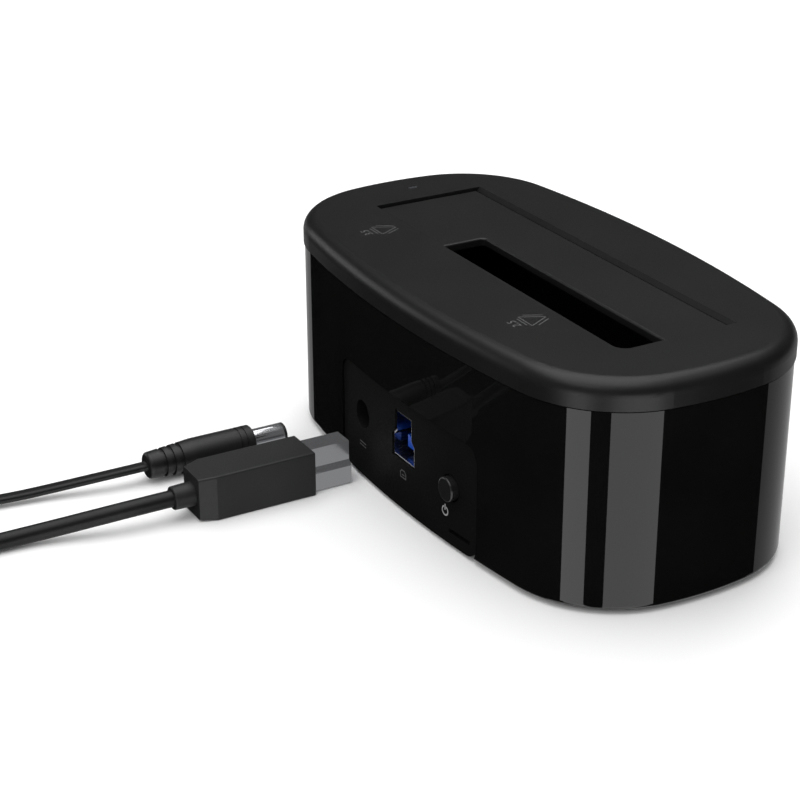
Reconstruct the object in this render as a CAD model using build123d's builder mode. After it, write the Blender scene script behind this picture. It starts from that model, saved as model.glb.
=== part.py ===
# A single-bay hard drive docking station with its data lead and its power lead.
# X runs along the dock, Y points to the rear face with the sockets, Z is up from the table.
# The origin is under the middle of the dock, on the table. All sizes are in millimetres.

from build123d import *
import os
from math import atan2, degrees, hypot, pi, radians, sqrt, tan

os.makedirs("parts", exist_ok=True)

# Room round the drive opening, from its edges to the dock's faces
front_room = 20.7
rear_room = 24.9
end_room = 18.0

# Dock outline seen from above: three tangent arcs to each quarter
side_radius = 314.0
end_radius = 80.0
corner_radius = 26.5

# Top cover
cover_top = 2.2
cover_wall = 2.2
cover_side = 6.4
cover_edge_fillet = 3.5
tongue_wall = 1.2
tongue_drop = 2.5
tongue_gap = 0.1
shelf_height = 1.5
shelf_lap = 0.4

# Drive opening in the top cover: a 3.5 inch drive is 101.6 wide and 26.1 thick
opening_length = 104.0
opening_width = 29.0
opening_corner = 3.0
lead_in = 1.0

# Body shell and the recess of its socket panel
shell_inset = 0.3
shell_wall = 2.2
rim_height = 1.0
rim_fillet = 1.2
seam_chamfer = 0.35
ledge_width = 1.6
ledge_height = 1.2

# Socket panel in the rear of the shell
panel_left = -33.5
panel_right = 26.5
panel_headroom = 3.7
panel_corner = 4.0
panel_sink = 0.4
panel_gap = 0.1
flange_lap = 1.6
flange_thickness = 0.9
flange_lift = 0.2
panel_slot_length = 7.7
panel_slot_width = 1.0
panel_slot_x = -27.0
panel_slot_height = 4.4

# Bottom cover, its feet and the case screws
plate_gap = 0.2
plate_recess = 0.2
plate_thickness = 2.0
case_screw_end_inset = 22.0
case_screw_side_inset = 11.8
case_boss_height = 3.2
case_web = 2.4
case_boss_diameter = 7.5
case_post_diameter = 6.5
case_screw_diameter = 2.6
case_screw_length = 10.0
case_head_diameter = 5.0
case_head_height = 1.8
case_head_play = 0.3
case_screw_play = 0.2
pilot_play = 0.025
pilot_spare = 0.5
foot_end_inset = 34.0
foot_side_inset = 13.3
foot_diameter = 10.0
foot_recess = 0.6
foot_play = 0.15
vent_count = 7
vent_length = 16.0
vent_width = 1.6
vent_pitch = 5.0

# Flap over the drive opening, with the slot for 2.5 inch drives
flap_sink = 0.6
flap_thickness = 1.8
flap_gap = 0.5
flap_edge_fillet = 0.5
slot_length = 72.6
slot_width = 11.9
slot_corner = 1.2

# Flap hinge: a steel pin in ears under the cover, with two torsion springs
hinge_setback = 1.4
pin_diameter = 1.6
pin_length = 93.0
knuckle_diameter = 3.0
knuckle_width = 5.0
knuckle_gap = 0.3
arm_length = 5.2
arm_lap = 0.4
ear_spacing = 44.0
ear_width = 4.0
ear_diameter = 3.2
side_gap = 0.2
pin_play = 0.05
ear_play = 0.03
spring_wire = 0.45
spring_radius = 1.25
spring_turns = 6
spring_pitch = 0.6
spring_leg = 6.0

# Drive well under the opening
well_wall = 1.6
well_margin = 0.2
well_floor = 1.6
down_gap = 0.3
floor_clearance = 1.5
floor_rise = 4.1
rib_thickness = 0.9
rib_width = 3.0
rib_clearance = 0.4
seat_height = 1.6
seat_width = 2.0
well_ear_width = 6.0
well_ear_reach = 6.2
well_ear_thickness = 2.0
well_boss_diameter = 5.6
well_boss_drop = 5.0
well_screw_diameter = 2.2
well_screw_length = 5.6
well_head_diameter = 4.2
well_head_height = 1.4
well_screw_play = 0.15
notch_margin = 2.0
socket_gap = 0.4
seat_inset = 4.0
well_ear_spread = 10.0

# Main board
board_standoff = 7.6
board_thickness = 1.6
board_far_inset = 6.5
board_near_inset = 23.0
board_front_margin = 0.6
board_shoulder_inset = 17.8
board_rear_inset = 7.7
board_tab_left = -33.0
board_tab_right = 30.0
board_corner = 1.5
board_hole_inset = 4.0
board_screw_diameter = 2.2
board_screw_length = 6.0
board_head_diameter = 4.4
board_head_height = 1.5
board_boss_diameter = 5.6
board_screw_play = 0.15

# Drive connector on the board
connector_x = -22.5
connector_edge = 3.9
connector_length = 44.0
connector_width = 6.0
connector_reach = 3.8
connector_horn = 2.2
connector_horn_rise = 2.4
power_slot = 21.2
signal_slot = 10.6
slot_wall = 1.5
blade_slot = 2.4
blade_depth = 6.5
contact_pitch = 1.27
contact_width = 0.6
contact_thickness = 0.3
contact_length = 5.2
power_contacts = 15
signal_contacts = 7
connector_key = 1.1

# Data socket, shared form with the data plug: a low wide part with a narrower hump
usb_x = -4.0
usb_rise = 1.4
usb_width = 8.9
usb_hump_width = 6.4
usb_shoulder = 4.6
usb_height = 10.8
usb_steel = 0.4
usb_length = 17.0
usb_sink = 0.3
usb_insert_length = 5.0
usb_tongue_width = 5.6
usb_tongue_height = 3.0
usb_tongue_bottom = 1.5
usb_tongue_length = 9.0
usb_upper_tongue = 1.0
usb_upper_width = 4.9
usb_upper_length = 8.1
usb_insert_play = 0.05
usb_panel_gap = 0.15
usb_base_inset = 0.5

# Power socket
jack_x = 15.9
jack_width = 9.2
jack_height = 9.2
jack_length = 12.5
jack_bore = 6.4
jack_depth = 10.0
jack_pin = 2.0
jack_panel_hole = 6.9
jack_panel_gap = 0.3

# Power switch and its round button
button_x = -23.6
button_rise = 2.6
button_diameter = 5.8
button_hole = 6.4
button_proud = 1.6
button_travel = 1.5
button_collar = 7.6
button_collar_width = 0.8
stem_diameter = 3.4
stem_length = 3.4
switch_width = 7.0
switch_length = 8.0
plunger_grip = 1.2
plunger_play = 0.3
plunger_width = 2.0
plunger_fit = 0.05
plunger_guide = 0.15

# Small parts on the board
chip_size = 9.0
chip_height = 1.2
chip_place = (20.0, 1.0)
coil_size = 5.4
coil_height = 3.2
coil_x = 6.2
coil_inset = 6.6
can_diameter = 6.3
can_height = 7.7
can_rows = (-14.5, 25.2)
can_inset = 5.0
lamp_size = 1.6
lamp_height = 0.8

# Light pipe from the lamp on the board to the window in the top cover
pipe_inset = 10.0
pipe_offset = -0.5
window_length = 2.4
window_width = 1.2
pipe_shoulder = 0.4
pipe_gap = 0.1
lamp_gap = 0.3

# Data plug, lying on the table behind the dock
plug_x = 19.1
plug_gap = 2.5
plug_width = 8.0
plug_hump_width = 5.6
plug_shoulder = 4.4
plug_height = 10.4
plug_steel_length = 10.1
plug_steel_hidden = 3.0
plug_grip_width = 11.0
plug_grip_height = 11.2
plug_grip_length = 29.2
plug_grip_taper = 4.0
plug_grip_end_width = 8.5
plug_grip_end_height = 10.3
plug_grip_round = 0.5
plug_collar_diameter = 5.9
plug_collar_length = 5.0
plug_play = 0.03
plug_lining = 1.1
plug_lining_setback = 0.4

# Data cord, its coil and the flat plug at its far end
usb_cord_diameter = 4.0
usb_coil_centre = (-0.8, 169.0)
usb_coil_radius = 22.0
usb_coil_columns = 3
usb_coil_layers = 2
flat_plug_y = 197.0
flat_plug_start = -15.0
flat_relief_length = 8.0
flat_relief_small = 5.6
flat_relief_large = 7.2
flat_grip_length = 26.0
flat_grip_width = 15.6
flat_grip_height = 8.4
flat_steel_length = 18.8
flat_steel_width = 12.0
flat_steel_height = 4.5
flat_steel_wall = 0.3
flat_insert_height = 1.9
flat_window_size = 2.2
flat_window_place = 7.6
flat_window_spread = 3.0

# Power plug, lying on the table beside the data plug
barrel_x = 40.15
barrel_gap = 8.1
barrel_diameter = 5.5
barrel_length = 8.9
barrel_bore = 2.1
barrel_hidden = 2.0
barrel_wall = 0.95
barrel_floor = 0.5
lining_play = 0.05
tip_ring_length = 0.8
tip_ring_round = 0.25
dc_grip_front = 8.2
dc_grip_rear = 6.4
dc_grip_length = 27.4
dc_front_length = 15.5
dc_front_chamfer = 0.3
dc_rear_round = 0.9
dc_front_grooves = (2.2, 3.8)
dc_front_groove = 0.4
dc_rear_grooves = (19.2, 21.4, 23.5)
dc_rear_groove = 0.9

# Power cord, its coil and the wall adapter at its far end
dc_cord_diameter = 3.2
dc_coil_centre = (69.0, 143.0)
dc_coil_radius = 19.0
dc_coil_columns = 3
dc_coil_layers = 4
dc_layer_height = 1.8
adapter_length = 52.0
adapter_width = 38.0
adapter_height = 28.0
adapter_fillet = 3.0
adapter_seam = 0.5
adapter_seam_share = 0.72
adapter_near_x = 84.0
adapter_y = 192.0
adapter_relief_length = 10.0
adapter_relief_small = 5.0
adapter_relief_large = 7.0
blade_spacing = 12.7
blade_width = 6.3
blade_thickness = 1.5
blade_length = 16.0
blade_hidden = 4.0

# Ties round the coils
tie_thickness = 0.8
tie_width = 5.0
tie_play = 0.01

# The dock's length and depth follow from the drive opening and the room round it
dock_length = opening_length + 2 * end_room
dock_depth = front_room + opening_width + rear_room

# Insets and places seen from above that follow from the sizes above
shell_inner = shell_inset + shell_wall
plate_inset = shell_inner + plate_gap
front_inset = shell_inset + panel_sink
flange_front = shell_inner + panel_gap
flange_back = flange_front + flange_thickness
opening_end = opening_length / 2
opening_rear = dock_depth / 2 - rear_room
opening_front = front_room - dock_depth / 2
opening_middle = (opening_front + opening_rear) / 2
flap_front = opening_front + flap_gap
flap_rear = opening_rear - flap_gap
flap_end = opening_end - flap_gap
hinge_y = opening_front - hinge_setback
flap_reach = flap_rear - hinge_y
board_right = dock_length / 2 - board_far_inset
board_left = board_near_inset - dock_length / 2
board_front = opening_front + board_front_margin
board_shoulder = dock_depth / 2 - board_shoulder_inset
board_rear = dock_depth / 2 - board_rear_inset
plug_tip_y = dock_depth / 2 + plug_gap
barrel_tip_y = dock_depth / 2 + barrel_gap
pipe_x = dock_length / 2 - pipe_inset
pipe_y = opening_middle + pipe_offset

# Heights, from the table up: bottom cover, board, well floor, the flap's swing, hinge and top cover
plate_bottom = rim_height + plate_recess
plate_top = plate_bottom + plate_thickness
case_post_bottom = plate_top + case_boss_height
case_head_seat = case_post_bottom - case_web
flange_bottom = plate_top + flange_lift
board_bottom = plate_top + board_standoff
board_top = board_bottom + board_thickness
usb_opening_bottom = board_top + usb_rise
jack_z = board_top + jack_height / 2
button_z = board_top + button_rise
panel_top = usb_opening_bottom + usb_height + panel_headroom
floor_bottom = board_top + floor_rise
floor_top = floor_bottom + well_floor
hinge_z = floor_top + floor_clearance + flap_reach
cover_underside = hinge_z + knuckle_diameter / 2 + knuckle_gap
dock_height = cover_underside + cover_top
seam_height = dock_height - cover_side
flap_top = dock_height - flap_sink
flap_bottom = flap_top - flap_thickness

# The well leaves room for the flap when it hangs down against the front wall
well_end = opening_end + well_margin
well_rear = opening_rear + well_margin
well_front = hinge_y + (flap_bottom - hinge_z) - down_gap
notch_bottom = hinge_z - arm_length - down_gap

# Centres of the arcs of the outline
side_centre_y = dock_depth / 2 - side_radius
end_centre_x = dock_length / 2 - end_radius
centre_gap = hypot(end_centre_x, side_centre_y)
from_side = side_radius - corner_radius
from_end = end_radius - corner_radius
along = (from_side**2 - from_end**2 + centre_gap**2) / (2 * centre_gap)
aside = sqrt(from_side**2 - along**2)
corner_x = (along * end_centre_x - aside * side_centre_y) / centre_gap
corner_y = side_centre_y - (along * side_centre_y + aside * end_centre_x) / centre_gap
side_angle = degrees(atan2(corner_y - side_centre_y, corner_x))
end_angle = degrees(atan2(corner_y, corner_x - end_centre_x))


def outline(inset, height):
    """The dock's outline at a height, moved inwards by inset."""
    side = side_radius - inset
    end = end_radius - inset
    corner = corner_radius - inset
    with BuildSketch(Plane.XY.offset(height)) as profile:
        with BuildLine():
            for turn in (0, 180):
                sign = 1 if turn == 0 else -1
                CenterArc((0, sign * side_centre_y), side, turn + side_angle, 180 - 2 * side_angle)
                CenterArc((sign * end_centre_x, 0), end, turn - end_angle, 2 * end_angle)
                for flip in (1, -1):
                    centre = (sign * corner_x, flip * sign * corner_y)
                    start = turn + (end_angle if flip > 0 else -side_angle)
                    CenterArc(centre, corner, start, side_angle - end_angle)
        make_face()
    return profile.sketch


def rear_y(x, inset):
    """Where the rear wall stands at x, moved inwards by inset."""
    return side_centre_y + sqrt((side_radius - inset) ** 2 - x**2)


def ring(outer, inner, low, high):
    """A wall that follows the outline between two insets."""
    with BuildPart() as wall:
        extrude(outline(outer, low), amount=high - low)
        extrude(outline(inner, low), amount=high - low, mode=Mode.SUBTRACT)
    return wall.part


def block(x, y, z, mode=Mode.ADD):
    """A box between the two ends given along each axis."""
    with Locations((sum(x) / 2, sum(y) / 2, sum(z) / 2)):
        Box(abs(x[1] - x[0]), abs(y[1] - y[0]), abs(z[1] - z[0]), mode=mode)


def rod(place, diameter, length, mode=Mode.ADD, axis="Z", top=None):
    """A round bar, or with top a cone, from a place along an axis."""
    turn = {"Z": (0, 0, 0), "Y": (-90, 0, 0), "X": (0, 90, 0)}[axis]
    stand = (Align.CENTER, Align.CENTER, Align.MIN)
    with Locations(Location(place, turn)):
        if top is None:
            Cylinder(diameter / 2, length, align=stand, mode=mode)
        else:
            Cone(diameter / 2, top / 2, length, align=stand, mode=mode)


def square_bar(place, width, length, mode=Mode.ADD):
    """A square bar from a place towards the rear."""
    with Locations(place):
        Box(width, length, width, align=(Align.CENTER, Align.MIN, Align.CENTER), mode=mode)


def bay(end, front, rear, corner, height):
    """The drive bay seen from above: a rectangle with its near rear corner rounded."""
    with BuildSketch(Plane.XY.offset(height)) as profile:
        with Locations((0, (front + rear) / 2)):
            Rectangle(2 * end, rear - front)
        near_rear = profile.vertices().sort_by(Axis.X)[0:2].sort_by(Axis.Y)[-1]
        fillet(near_rear, corner)
    return profile.sketch


def save(piece, label):
    """Names a finished piece and writes it out."""
    piece.part.label = label
    export_step(piece.part, f"parts/{label}.step")


def four_corners(end_inset, side_inset):
    """Four places set in from the dock's ends and sides."""
    reach_x = dock_length / 2 - end_inset
    reach_y = dock_depth / 2 - side_inset
    return [(x, y) for x in (-reach_x, reach_x) for y in (-reach_y, reach_y)]


case_screw_places = four_corners(case_screw_end_inset, case_screw_side_inset)
foot_places = four_corners(foot_end_inset, foot_side_inset)
board_screw_places = [
    (x, y)
    for x in (board_left + board_hole_inset, board_right - board_hole_inset)
    for y in (board_front + board_hole_inset, board_shoulder - board_hole_inset)
]
well_ear_x = well_end + well_wall + well_ear_reach / 2
well_ear_places = (opening_middle - well_ear_spread, opening_middle + well_ear_spread)
well_screw_places = [(side * well_ear_x, y) for side in (-1, 1) for y in well_ear_places]
ear_top = cover_underside - well_boss_drop


def panel_window(grow, bottom):
    """The arched window of the socket panel, grown by a margin, as a bar through the rear wall."""
    width = panel_right - panel_left + 2 * grow
    height = panel_top + grow - bottom
    centre = ((panel_left + panel_right) / 2, 0, bottom + height / 2)
    with BuildPart() as bar:
        with BuildSketch(Plane(centre, x_dir=(1, 0, 0), z_dir=(0, 1, 0))) as window:
            Rectangle(width, height)
            fillet(window.vertices().group_by(Axis.Z)[-1], panel_corner + grow)
        extrude(amount=dock_depth)
    return bar.part


# The window for the socket panel, with room behind the wall for the panel's flange
with BuildPart() as window_space:
    extrude(outline(shell_inner, plate_top), amount=dock_height)
    add(panel_window(flange_lap + panel_gap, plate_top), mode=Mode.INTERSECT)
    add(panel_window(panel_gap, 0))

# Body shell: a gloss sleeve, open above and below, with a ledge that the bottom cover meets
with BuildPart() as body_shell:
    extrude(outline(shell_inset, rim_height), amount=seam_height - rim_height)
    fillet(body_shell.edges().group_by(Axis.Z)[0], min(rim_fillet, shell_wall * 0.8))
    chamfer(body_shell.edges().group_by(Axis.Z)[-1], min(seam_chamfer, shell_wall * 0.4))
    extrude(outline(shell_inner, 0), amount=dock_height, mode=Mode.SUBTRACT)
    add(ring(shell_inner - shell_wall / 2, shell_inner + ledge_width, plate_top, plate_top + ledge_height))
    add(window_space.part, mode=Mode.SUBTRACT)
save(body_shell, "body_shell")

# Bottom cover: a plate inside the rim, with bosses for the case screws and for the board
with BuildPart() as bottom_cover:
    extrude(outline(plate_inset, plate_bottom), amount=plate_thickness)
    for place in case_screw_places:
        rod((*place, plate_top), case_boss_diameter, case_boss_height)
        rod((*place, 0), case_screw_diameter + 2 * case_screw_play, dock_height, Mode.SUBTRACT)
        rod((*place, 0), case_head_diameter + 2 * case_head_play, case_head_seat, Mode.SUBTRACT)
    for place in board_screw_places:
        rod((*place, plate_top), board_boss_diameter, board_bottom - plate_top)
        pilot = board_screw_length - board_thickness + pilot_spare
        rod((*place, board_bottom - pilot), board_screw_diameter + 2 * pilot_play, pilot, Mode.SUBTRACT)
    for place in foot_places:
        rod((*place, 0), foot_diameter + 2 * foot_play, plate_bottom + foot_recess, Mode.SUBTRACT)
    with Locations((0, 0, plate_bottom)):
        with GridLocations(vent_pitch, 1, vent_count, 1):
            Box(vent_width, vent_length, 3 * plate_thickness, mode=Mode.SUBTRACT)
save(bottom_cover, "bottom_cover")

with BuildPart() as rubber_feet:
    for place in foot_places:
        rod((*place, 0), foot_diameter, plate_bottom + foot_recess)
    chamfer(rubber_feet.edges().group_by(Axis.Z)[0], rim_height / 2)
save(rubber_feet, "rubber_feet")


def pan_screw(place, under_head, head, head_height, shank, length, up=True):
    """A pan-head screw whose head seats at a height, with its shank pointing up or down."""
    turn = 0 if up else 180
    with BuildPart(mode=Mode.PRIVATE) as screw:
        rod((0, 0, -head_height), head, head_height)
        fillet(screw.edges().group_by(Axis.Z)[0], head_height * 0.45)
        rod((0, 0, 0), shank, length)
        with BuildSketch(Plane.XY.offset(-head_height)):
            Rectangle(head * 0.55, head * 0.14)
            Rectangle(head * 0.14, head * 0.55)
        extrude(amount=head_height * 0.5, mode=Mode.SUBTRACT)
    return Location((*place, under_head), (turn, 0, 0)) * screw.part


with BuildPart() as case_screws:
    for place in case_screw_places:
        add(pan_screw(place, case_head_seat, case_head_diameter, case_head_height,
                      case_screw_diameter, case_screw_length))
save(case_screws, "case_screws")

# Top cover: a shallow matte cap with a tongue that plugs into the shell
ear_places = (-ear_spacing, 0, ear_spacing)
knuckle_step = ear_width / 2 + side_gap + knuckle_width / 2
knuckle_places = (-ear_spacing + knuckle_step, -knuckle_step, knuckle_step, ear_spacing - knuckle_step)
with BuildSketch(Plane.YZ) as ear_profile:
    with Locations((hinge_y, hinge_z)):
        Circle(ear_diameter / 2)
    with Locations((hinge_y, (hinge_z + cover_underside) / 2)):
        Rectangle(ear_diameter, cover_underside - hinge_z)
    with Locations((hinge_y, hinge_z)):
        Circle(pin_diameter / 2 + ear_play, mode=Mode.SUBTRACT)

pipe_hole = (window_width + 2 * pipe_gap, window_length + 2 * pipe_gap)
tongue_outer = shell_inner + tongue_gap
with BuildPart() as top_cover:
    extrude(outline(0, seam_height), amount=cover_side)
    fillet(top_cover.edges().group_by(Axis.Z)[-1], min(cover_edge_fillet, cover_side - 0.5))
    extrude(outline(cover_wall, seam_height), amount=cover_side - cover_top, mode=Mode.SUBTRACT)
    add(ring(cover_wall - shelf_lap, tongue_outer + tongue_wall, seam_height, seam_height + shelf_height))
    add(ring(tongue_outer, tongue_outer + tongue_wall, seam_height - tongue_drop, seam_height + shelf_lap))
    extrude(bay(opening_end, opening_front, opening_rear, opening_corner, ear_top), amount=dock_height,
            mode=Mode.SUBTRACT)
    front_edge = top_cover.edges().filter_by(Axis.X).filter_by_position(
        Axis.Y, opening_front - 0.1, opening_front + 0.1).sort_by(Axis.Z)[-1]
    chamfer(front_edge, min(lead_in, cover_top * 0.6))
    for place in case_screw_places:
        post = cover_underside - case_post_bottom
        rod((*place, case_post_bottom), case_post_diameter, post + cover_top / 2)
        rod((*place, case_post_bottom), case_screw_diameter + 2 * pilot_play,
            case_screw_length - case_web + pilot_spare, Mode.SUBTRACT)
    for place in well_screw_places:
        rod((*place, ear_top), well_boss_diameter, well_boss_drop + cover_top / 2)
        rod((*place, ear_top), well_screw_diameter + 2 * pilot_play,
            well_screw_length - well_ear_thickness + pilot_spare, Mode.SUBTRACT)
    for x in ear_places:
        extrude(Location((x - ear_width / 2, 0, 0)) * ear_profile.sketch, amount=ear_width)
    with Locations((pipe_x, pipe_y, dock_height)):
        Box(*pipe_hole, 3 * cover_top, mode=Mode.SUBTRACT)
save(top_cover, "top_cover")

# Flap: an L-shaped plate that fills the opening round the slot, on four knuckles
slot_end = -opening_end + slot_length
slot_front = opening_rear - slot_width
with BuildSketch(Plane.YZ) as knuckle_profile:
    with Locations((hinge_y, hinge_z)):
        Circle(knuckle_diameter / 2)
    with BuildLine():
        knuckle_top = hinge_z + knuckle_diameter / 2
        Polyline(
            (hinge_y, hinge_z - knuckle_diameter / 2),
            (hinge_y + arm_length, flap_bottom),
            (hinge_y + arm_length, flap_bottom + arm_lap),
            (flap_front, flap_bottom + arm_lap),
            (flap_front, knuckle_top),
            (hinge_y, knuckle_top),
            close=True,
        )
    make_face()
    with Locations((hinge_y, hinge_z)):
        Circle(pin_diameter / 2 + pin_play, mode=Mode.SUBTRACT)

with BuildPart() as slot_flap:
    with BuildSketch(Plane.XY.offset(flap_bottom)) as plate:
        with BuildLine():
            Polyline(
                (-flap_end, flap_front),
                (flap_end, flap_front),
                (flap_end, flap_rear),
                (slot_end, flap_rear),
                (slot_end, slot_front),
                (-flap_end, slot_front),
                close=True,
            )
        make_face()
        inner_corner = plate.vertices().sort_by(lambda v: abs(v.X - slot_end) + abs(v.Y - slot_front))[0]
        fillet(inner_corner, slot_corner)
    extrude(amount=flap_thickness)
    fillet(slot_flap.edges().group_by(Axis.Z)[-1], min(flap_edge_fillet, flap_thickness * 0.4))
    for x in knuckle_places:
        extrude(Location((x - knuckle_width / 2, 0, 0)) * knuckle_profile.sketch, amount=knuckle_width)
save(slot_flap, "slot_flap")

with BuildPart() as hinge_pin:
    rod((-pin_length / 2, hinge_y, hinge_z), pin_diameter, pin_length, axis="X")
    chamfer(hinge_pin.edges(), pin_diameter * 0.15)
save(hinge_pin, "hinge_pin")

# Torsion springs: a coil round the pin, one leg under the flap and one under the cover
spring_length = spring_turns * spring_pitch
spring_step = ear_spacing - knuckle_step - knuckle_width / 2 - side_gap - spring_wire
with BuildPart() as flap_springs:
    for side in (-1, 1):
        coil_start = side * spring_step - (spring_length if side > 0 else 0)
        top = hinge_z + spring_radius
        coil = Helix(spring_pitch, spring_length, spring_radius, center=(0, 0, 0), direction=(1, 0, 0))
        start_angle = degrees(atan2((coil @ 0).Y, (coil @ 0).Z))
        placed = Location((coil_start, hinge_y, hinge_z)) * Location((0, 0, 0), (start_angle, 0, 0)) * coil
        with BuildPart(mode=Mode.PRIVATE) as wire:
            with BuildSketch(Plane(placed @ 0, z_dir=placed % 0)):
                RegularPolygon(spring_wire / 2, 6)
            sweep(path=placed, is_frenet=True)
        add(wire.part)
        rod((coil_start, hinge_y, top), spring_wire, spring_leg, axis="Y")
        rod((coil_start + spring_length, hinge_y - spring_leg, top), spring_wire, spring_leg, axis="Y")
save(flap_springs, "flap_springs")

# Drive well: a box under the opening that guides the drive down onto the connector
connector_y = opening_rear - connector_edge
connector_top = floor_top + connector_reach
notch_end = ear_spacing + ear_width / 2 + notch_margin
rib_front = well_rear - opening_corner - rib_width
flap_swing = hypot(flap_reach, flap_top - hinge_z) + rib_clearance
rib_top = hinge_z - sqrt(flap_swing**2 - (rib_front - hinge_y) ** 2)
seat_front = hinge_y + flap_top - hinge_z + rib_clearance
with BuildPart() as drive_well:
    extrude(bay(well_end + well_wall, well_front - well_wall, well_rear + well_wall,
                opening_corner + well_wall, floor_bottom), amount=cover_underside - floor_bottom)
    extrude(bay(well_end, well_front, well_rear, opening_corner, floor_top), amount=dock_height,
            mode=Mode.SUBTRACT)
    # The front wall stops short of the hinge
    block((-notch_end, notch_end), (well_front - 2 * well_wall, well_front + 0.2),
          (notch_bottom, dock_height), Mode.SUBTRACT)
    # Ribs in the rear corners centre a 3.5 inch drive, clear of the swinging flap
    for side in (-1, 1):
        block((side * (well_end - rib_thickness), side * (well_end + 0.2)),
              (rib_front, well_rear - opening_corner),
              (floor_bottom, rib_top))
    # Low seats that the drive stands on
    for x in (-well_end + seat_inset, connector_x + connector_length / 2 + seat_inset, well_end - seat_inset):
        block((x - seat_width / 2, x + seat_width / 2),
              (seat_front, well_rear),
              (floor_bottom, floor_top + seat_height))
    block((connector_x - connector_length / 2 - socket_gap, connector_x + connector_length / 2 + socket_gap),
          (connector_y - connector_width / 2 - socket_gap, connector_y + connector_width / 2 + socket_gap),
          (floor_bottom - 1, connector_top), Mode.SUBTRACT)
    # Screw ears at both ends, held up under the cover
    for side in (-1, 1):
        for y in well_ear_places:
            block((side * (well_end + well_wall / 2), side * (well_ear_x + well_ear_width / 2)),
                  (y - well_ear_width / 2, y + well_ear_width / 2),
                  (ear_top - well_ear_thickness, ear_top))
    for place in well_screw_places:
        rod((*place, 0), well_screw_diameter + 2 * well_screw_play, dock_height, Mode.SUBTRACT)
save(drive_well, "drive_well")

with BuildPart() as well_screws:
    for place in well_screw_places:
        add(pan_screw(place, ear_top - well_ear_thickness, well_head_diameter, well_head_height,
                      well_screw_diameter, well_screw_length))
save(well_screws, "well_screws")

# Main board: a wide part under the well and a tab that carries the rear sockets
with BuildPart() as main_board:
    with BuildSketch(Plane.XY.offset(board_bottom)) as board_shape:
        with BuildLine():
            Polyline(
                (board_left, board_front),
                (board_right, board_front),
                (board_right, board_shoulder),
                (board_tab_right, board_shoulder),
                (board_tab_right, board_rear),
                (board_tab_left, board_rear),
                (board_tab_left, board_shoulder),
                (board_left, board_shoulder),
                close=True,
            )
        make_face()
        fillet(board_shape.vertices(), board_corner)
        with Locations(*board_screw_places):
            Circle(board_screw_diameter / 2 + board_screw_play, mode=Mode.SUBTRACT)
    extrude(amount=board_thickness)
save(main_board, "main_board")

with BuildPart() as board_screws:
    for place in board_screw_places:
        add(pan_screw(place, board_top, board_head_diameter, board_head_height,
                      board_screw_diameter, board_screw_length, up=False))
save(board_screws, "board_screws")

# Drive connector: a moulded body with a power slot and a signal slot, and horns at its ends
slots_length = power_slot + slot_wall + signal_slot
power_x = connector_x + (slots_length - power_slot) / 2
signal_x = connector_x - (slots_length - signal_slot) / 2
with BuildPart() as drive_connector:
    block((connector_x - connector_length / 2, connector_x + connector_length / 2),
          (connector_y - connector_width / 2, connector_y + connector_width / 2),
          (board_top, connector_top))
    for side in (-1, 1):
        end = connector_x + side * connector_length / 2
        block((end - side * connector_horn, end),
              (connector_y - connector_width / 2, connector_y + connector_width / 2),
              (connector_top - 1, connector_top + connector_horn_rise))
    chamfer(drive_connector.edges().filter_by(Axis.Y).group_by(Axis.Z)[-1], connector_horn * 0.3)
    for middle, length in ((power_x, power_slot), (signal_x, signal_slot)):
        block((middle - length / 2, middle + length / 2),
              (connector_y - blade_slot / 2, connector_y + blade_slot / 2),
              (connector_top - blade_depth, connector_top + 0.5), Mode.SUBTRACT)
        corner = middle + length / 2
        block((corner - connector_key, corner),
              (connector_y - blade_slot / 2 - connector_key, connector_y),
              (connector_top - blade_depth, connector_top + 0.5), Mode.SUBTRACT)
save(drive_connector, "drive_connector")

with BuildPart() as connector_contacts:
    for middle, count in ((power_x, power_contacts), (signal_x, signal_contacts)):
        for step in range(count):
            x = middle + (step - (count - 1) / 2) * contact_pitch - connector_key / 4
            wall = connector_y + blade_slot / 2
            low = connector_top - blade_depth
            block((x - contact_width / 2, x + contact_width / 2),
                  (wall - contact_thickness, wall), (low, low + contact_length))
save(connector_contacts, "connector_contacts")


def usb_profile(width, hump_width, shoulder, height, grow, place):
    """The stepped outline of the data socket and plug, standing on a place, seen from behind."""
    half = width / 2
    hump = hump_width / 2
    with BuildSketch(Plane(place, x_dir=(1, 0, 0), z_dir=(0, -1, 0))) as profile:
        with BuildLine():
            Polyline(
                (-half, 0),
                (half, 0),
                (half, shoulder),
                (hump, shoulder + half - hump),
                (hump, height),
                (-hump, height),
                (-hump, shoulder + half - hump),
                (-half, shoulder),
                close=True,
            )
        make_face()
        if grow:
            offset(amount=grow, kind=Kind.INTERSECTION)
    return profile.sketch


# Data socket: a folded steel shell round a moulded insert with two tongues
usb_form = (usb_width, usb_hump_width, usb_shoulder, usb_height)
usb_face_y = rear_y(usb_x, front_inset) - usb_sink
usb_back_y = usb_face_y - usb_length
usb_place = (usb_x, usb_back_y, usb_opening_bottom)
inside_place = (usb_x, usb_back_y + usb_steel, usb_opening_bottom)
with BuildPart() as usb_port_shell:
    extrude(usb_profile(*usb_form, usb_steel, usb_place), amount=-usb_length)
    extrude(usb_profile(*usb_form, 0, inside_place), amount=-usb_length, mode=Mode.SUBTRACT)
save(usb_port_shell, "usb_port_shell")

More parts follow.
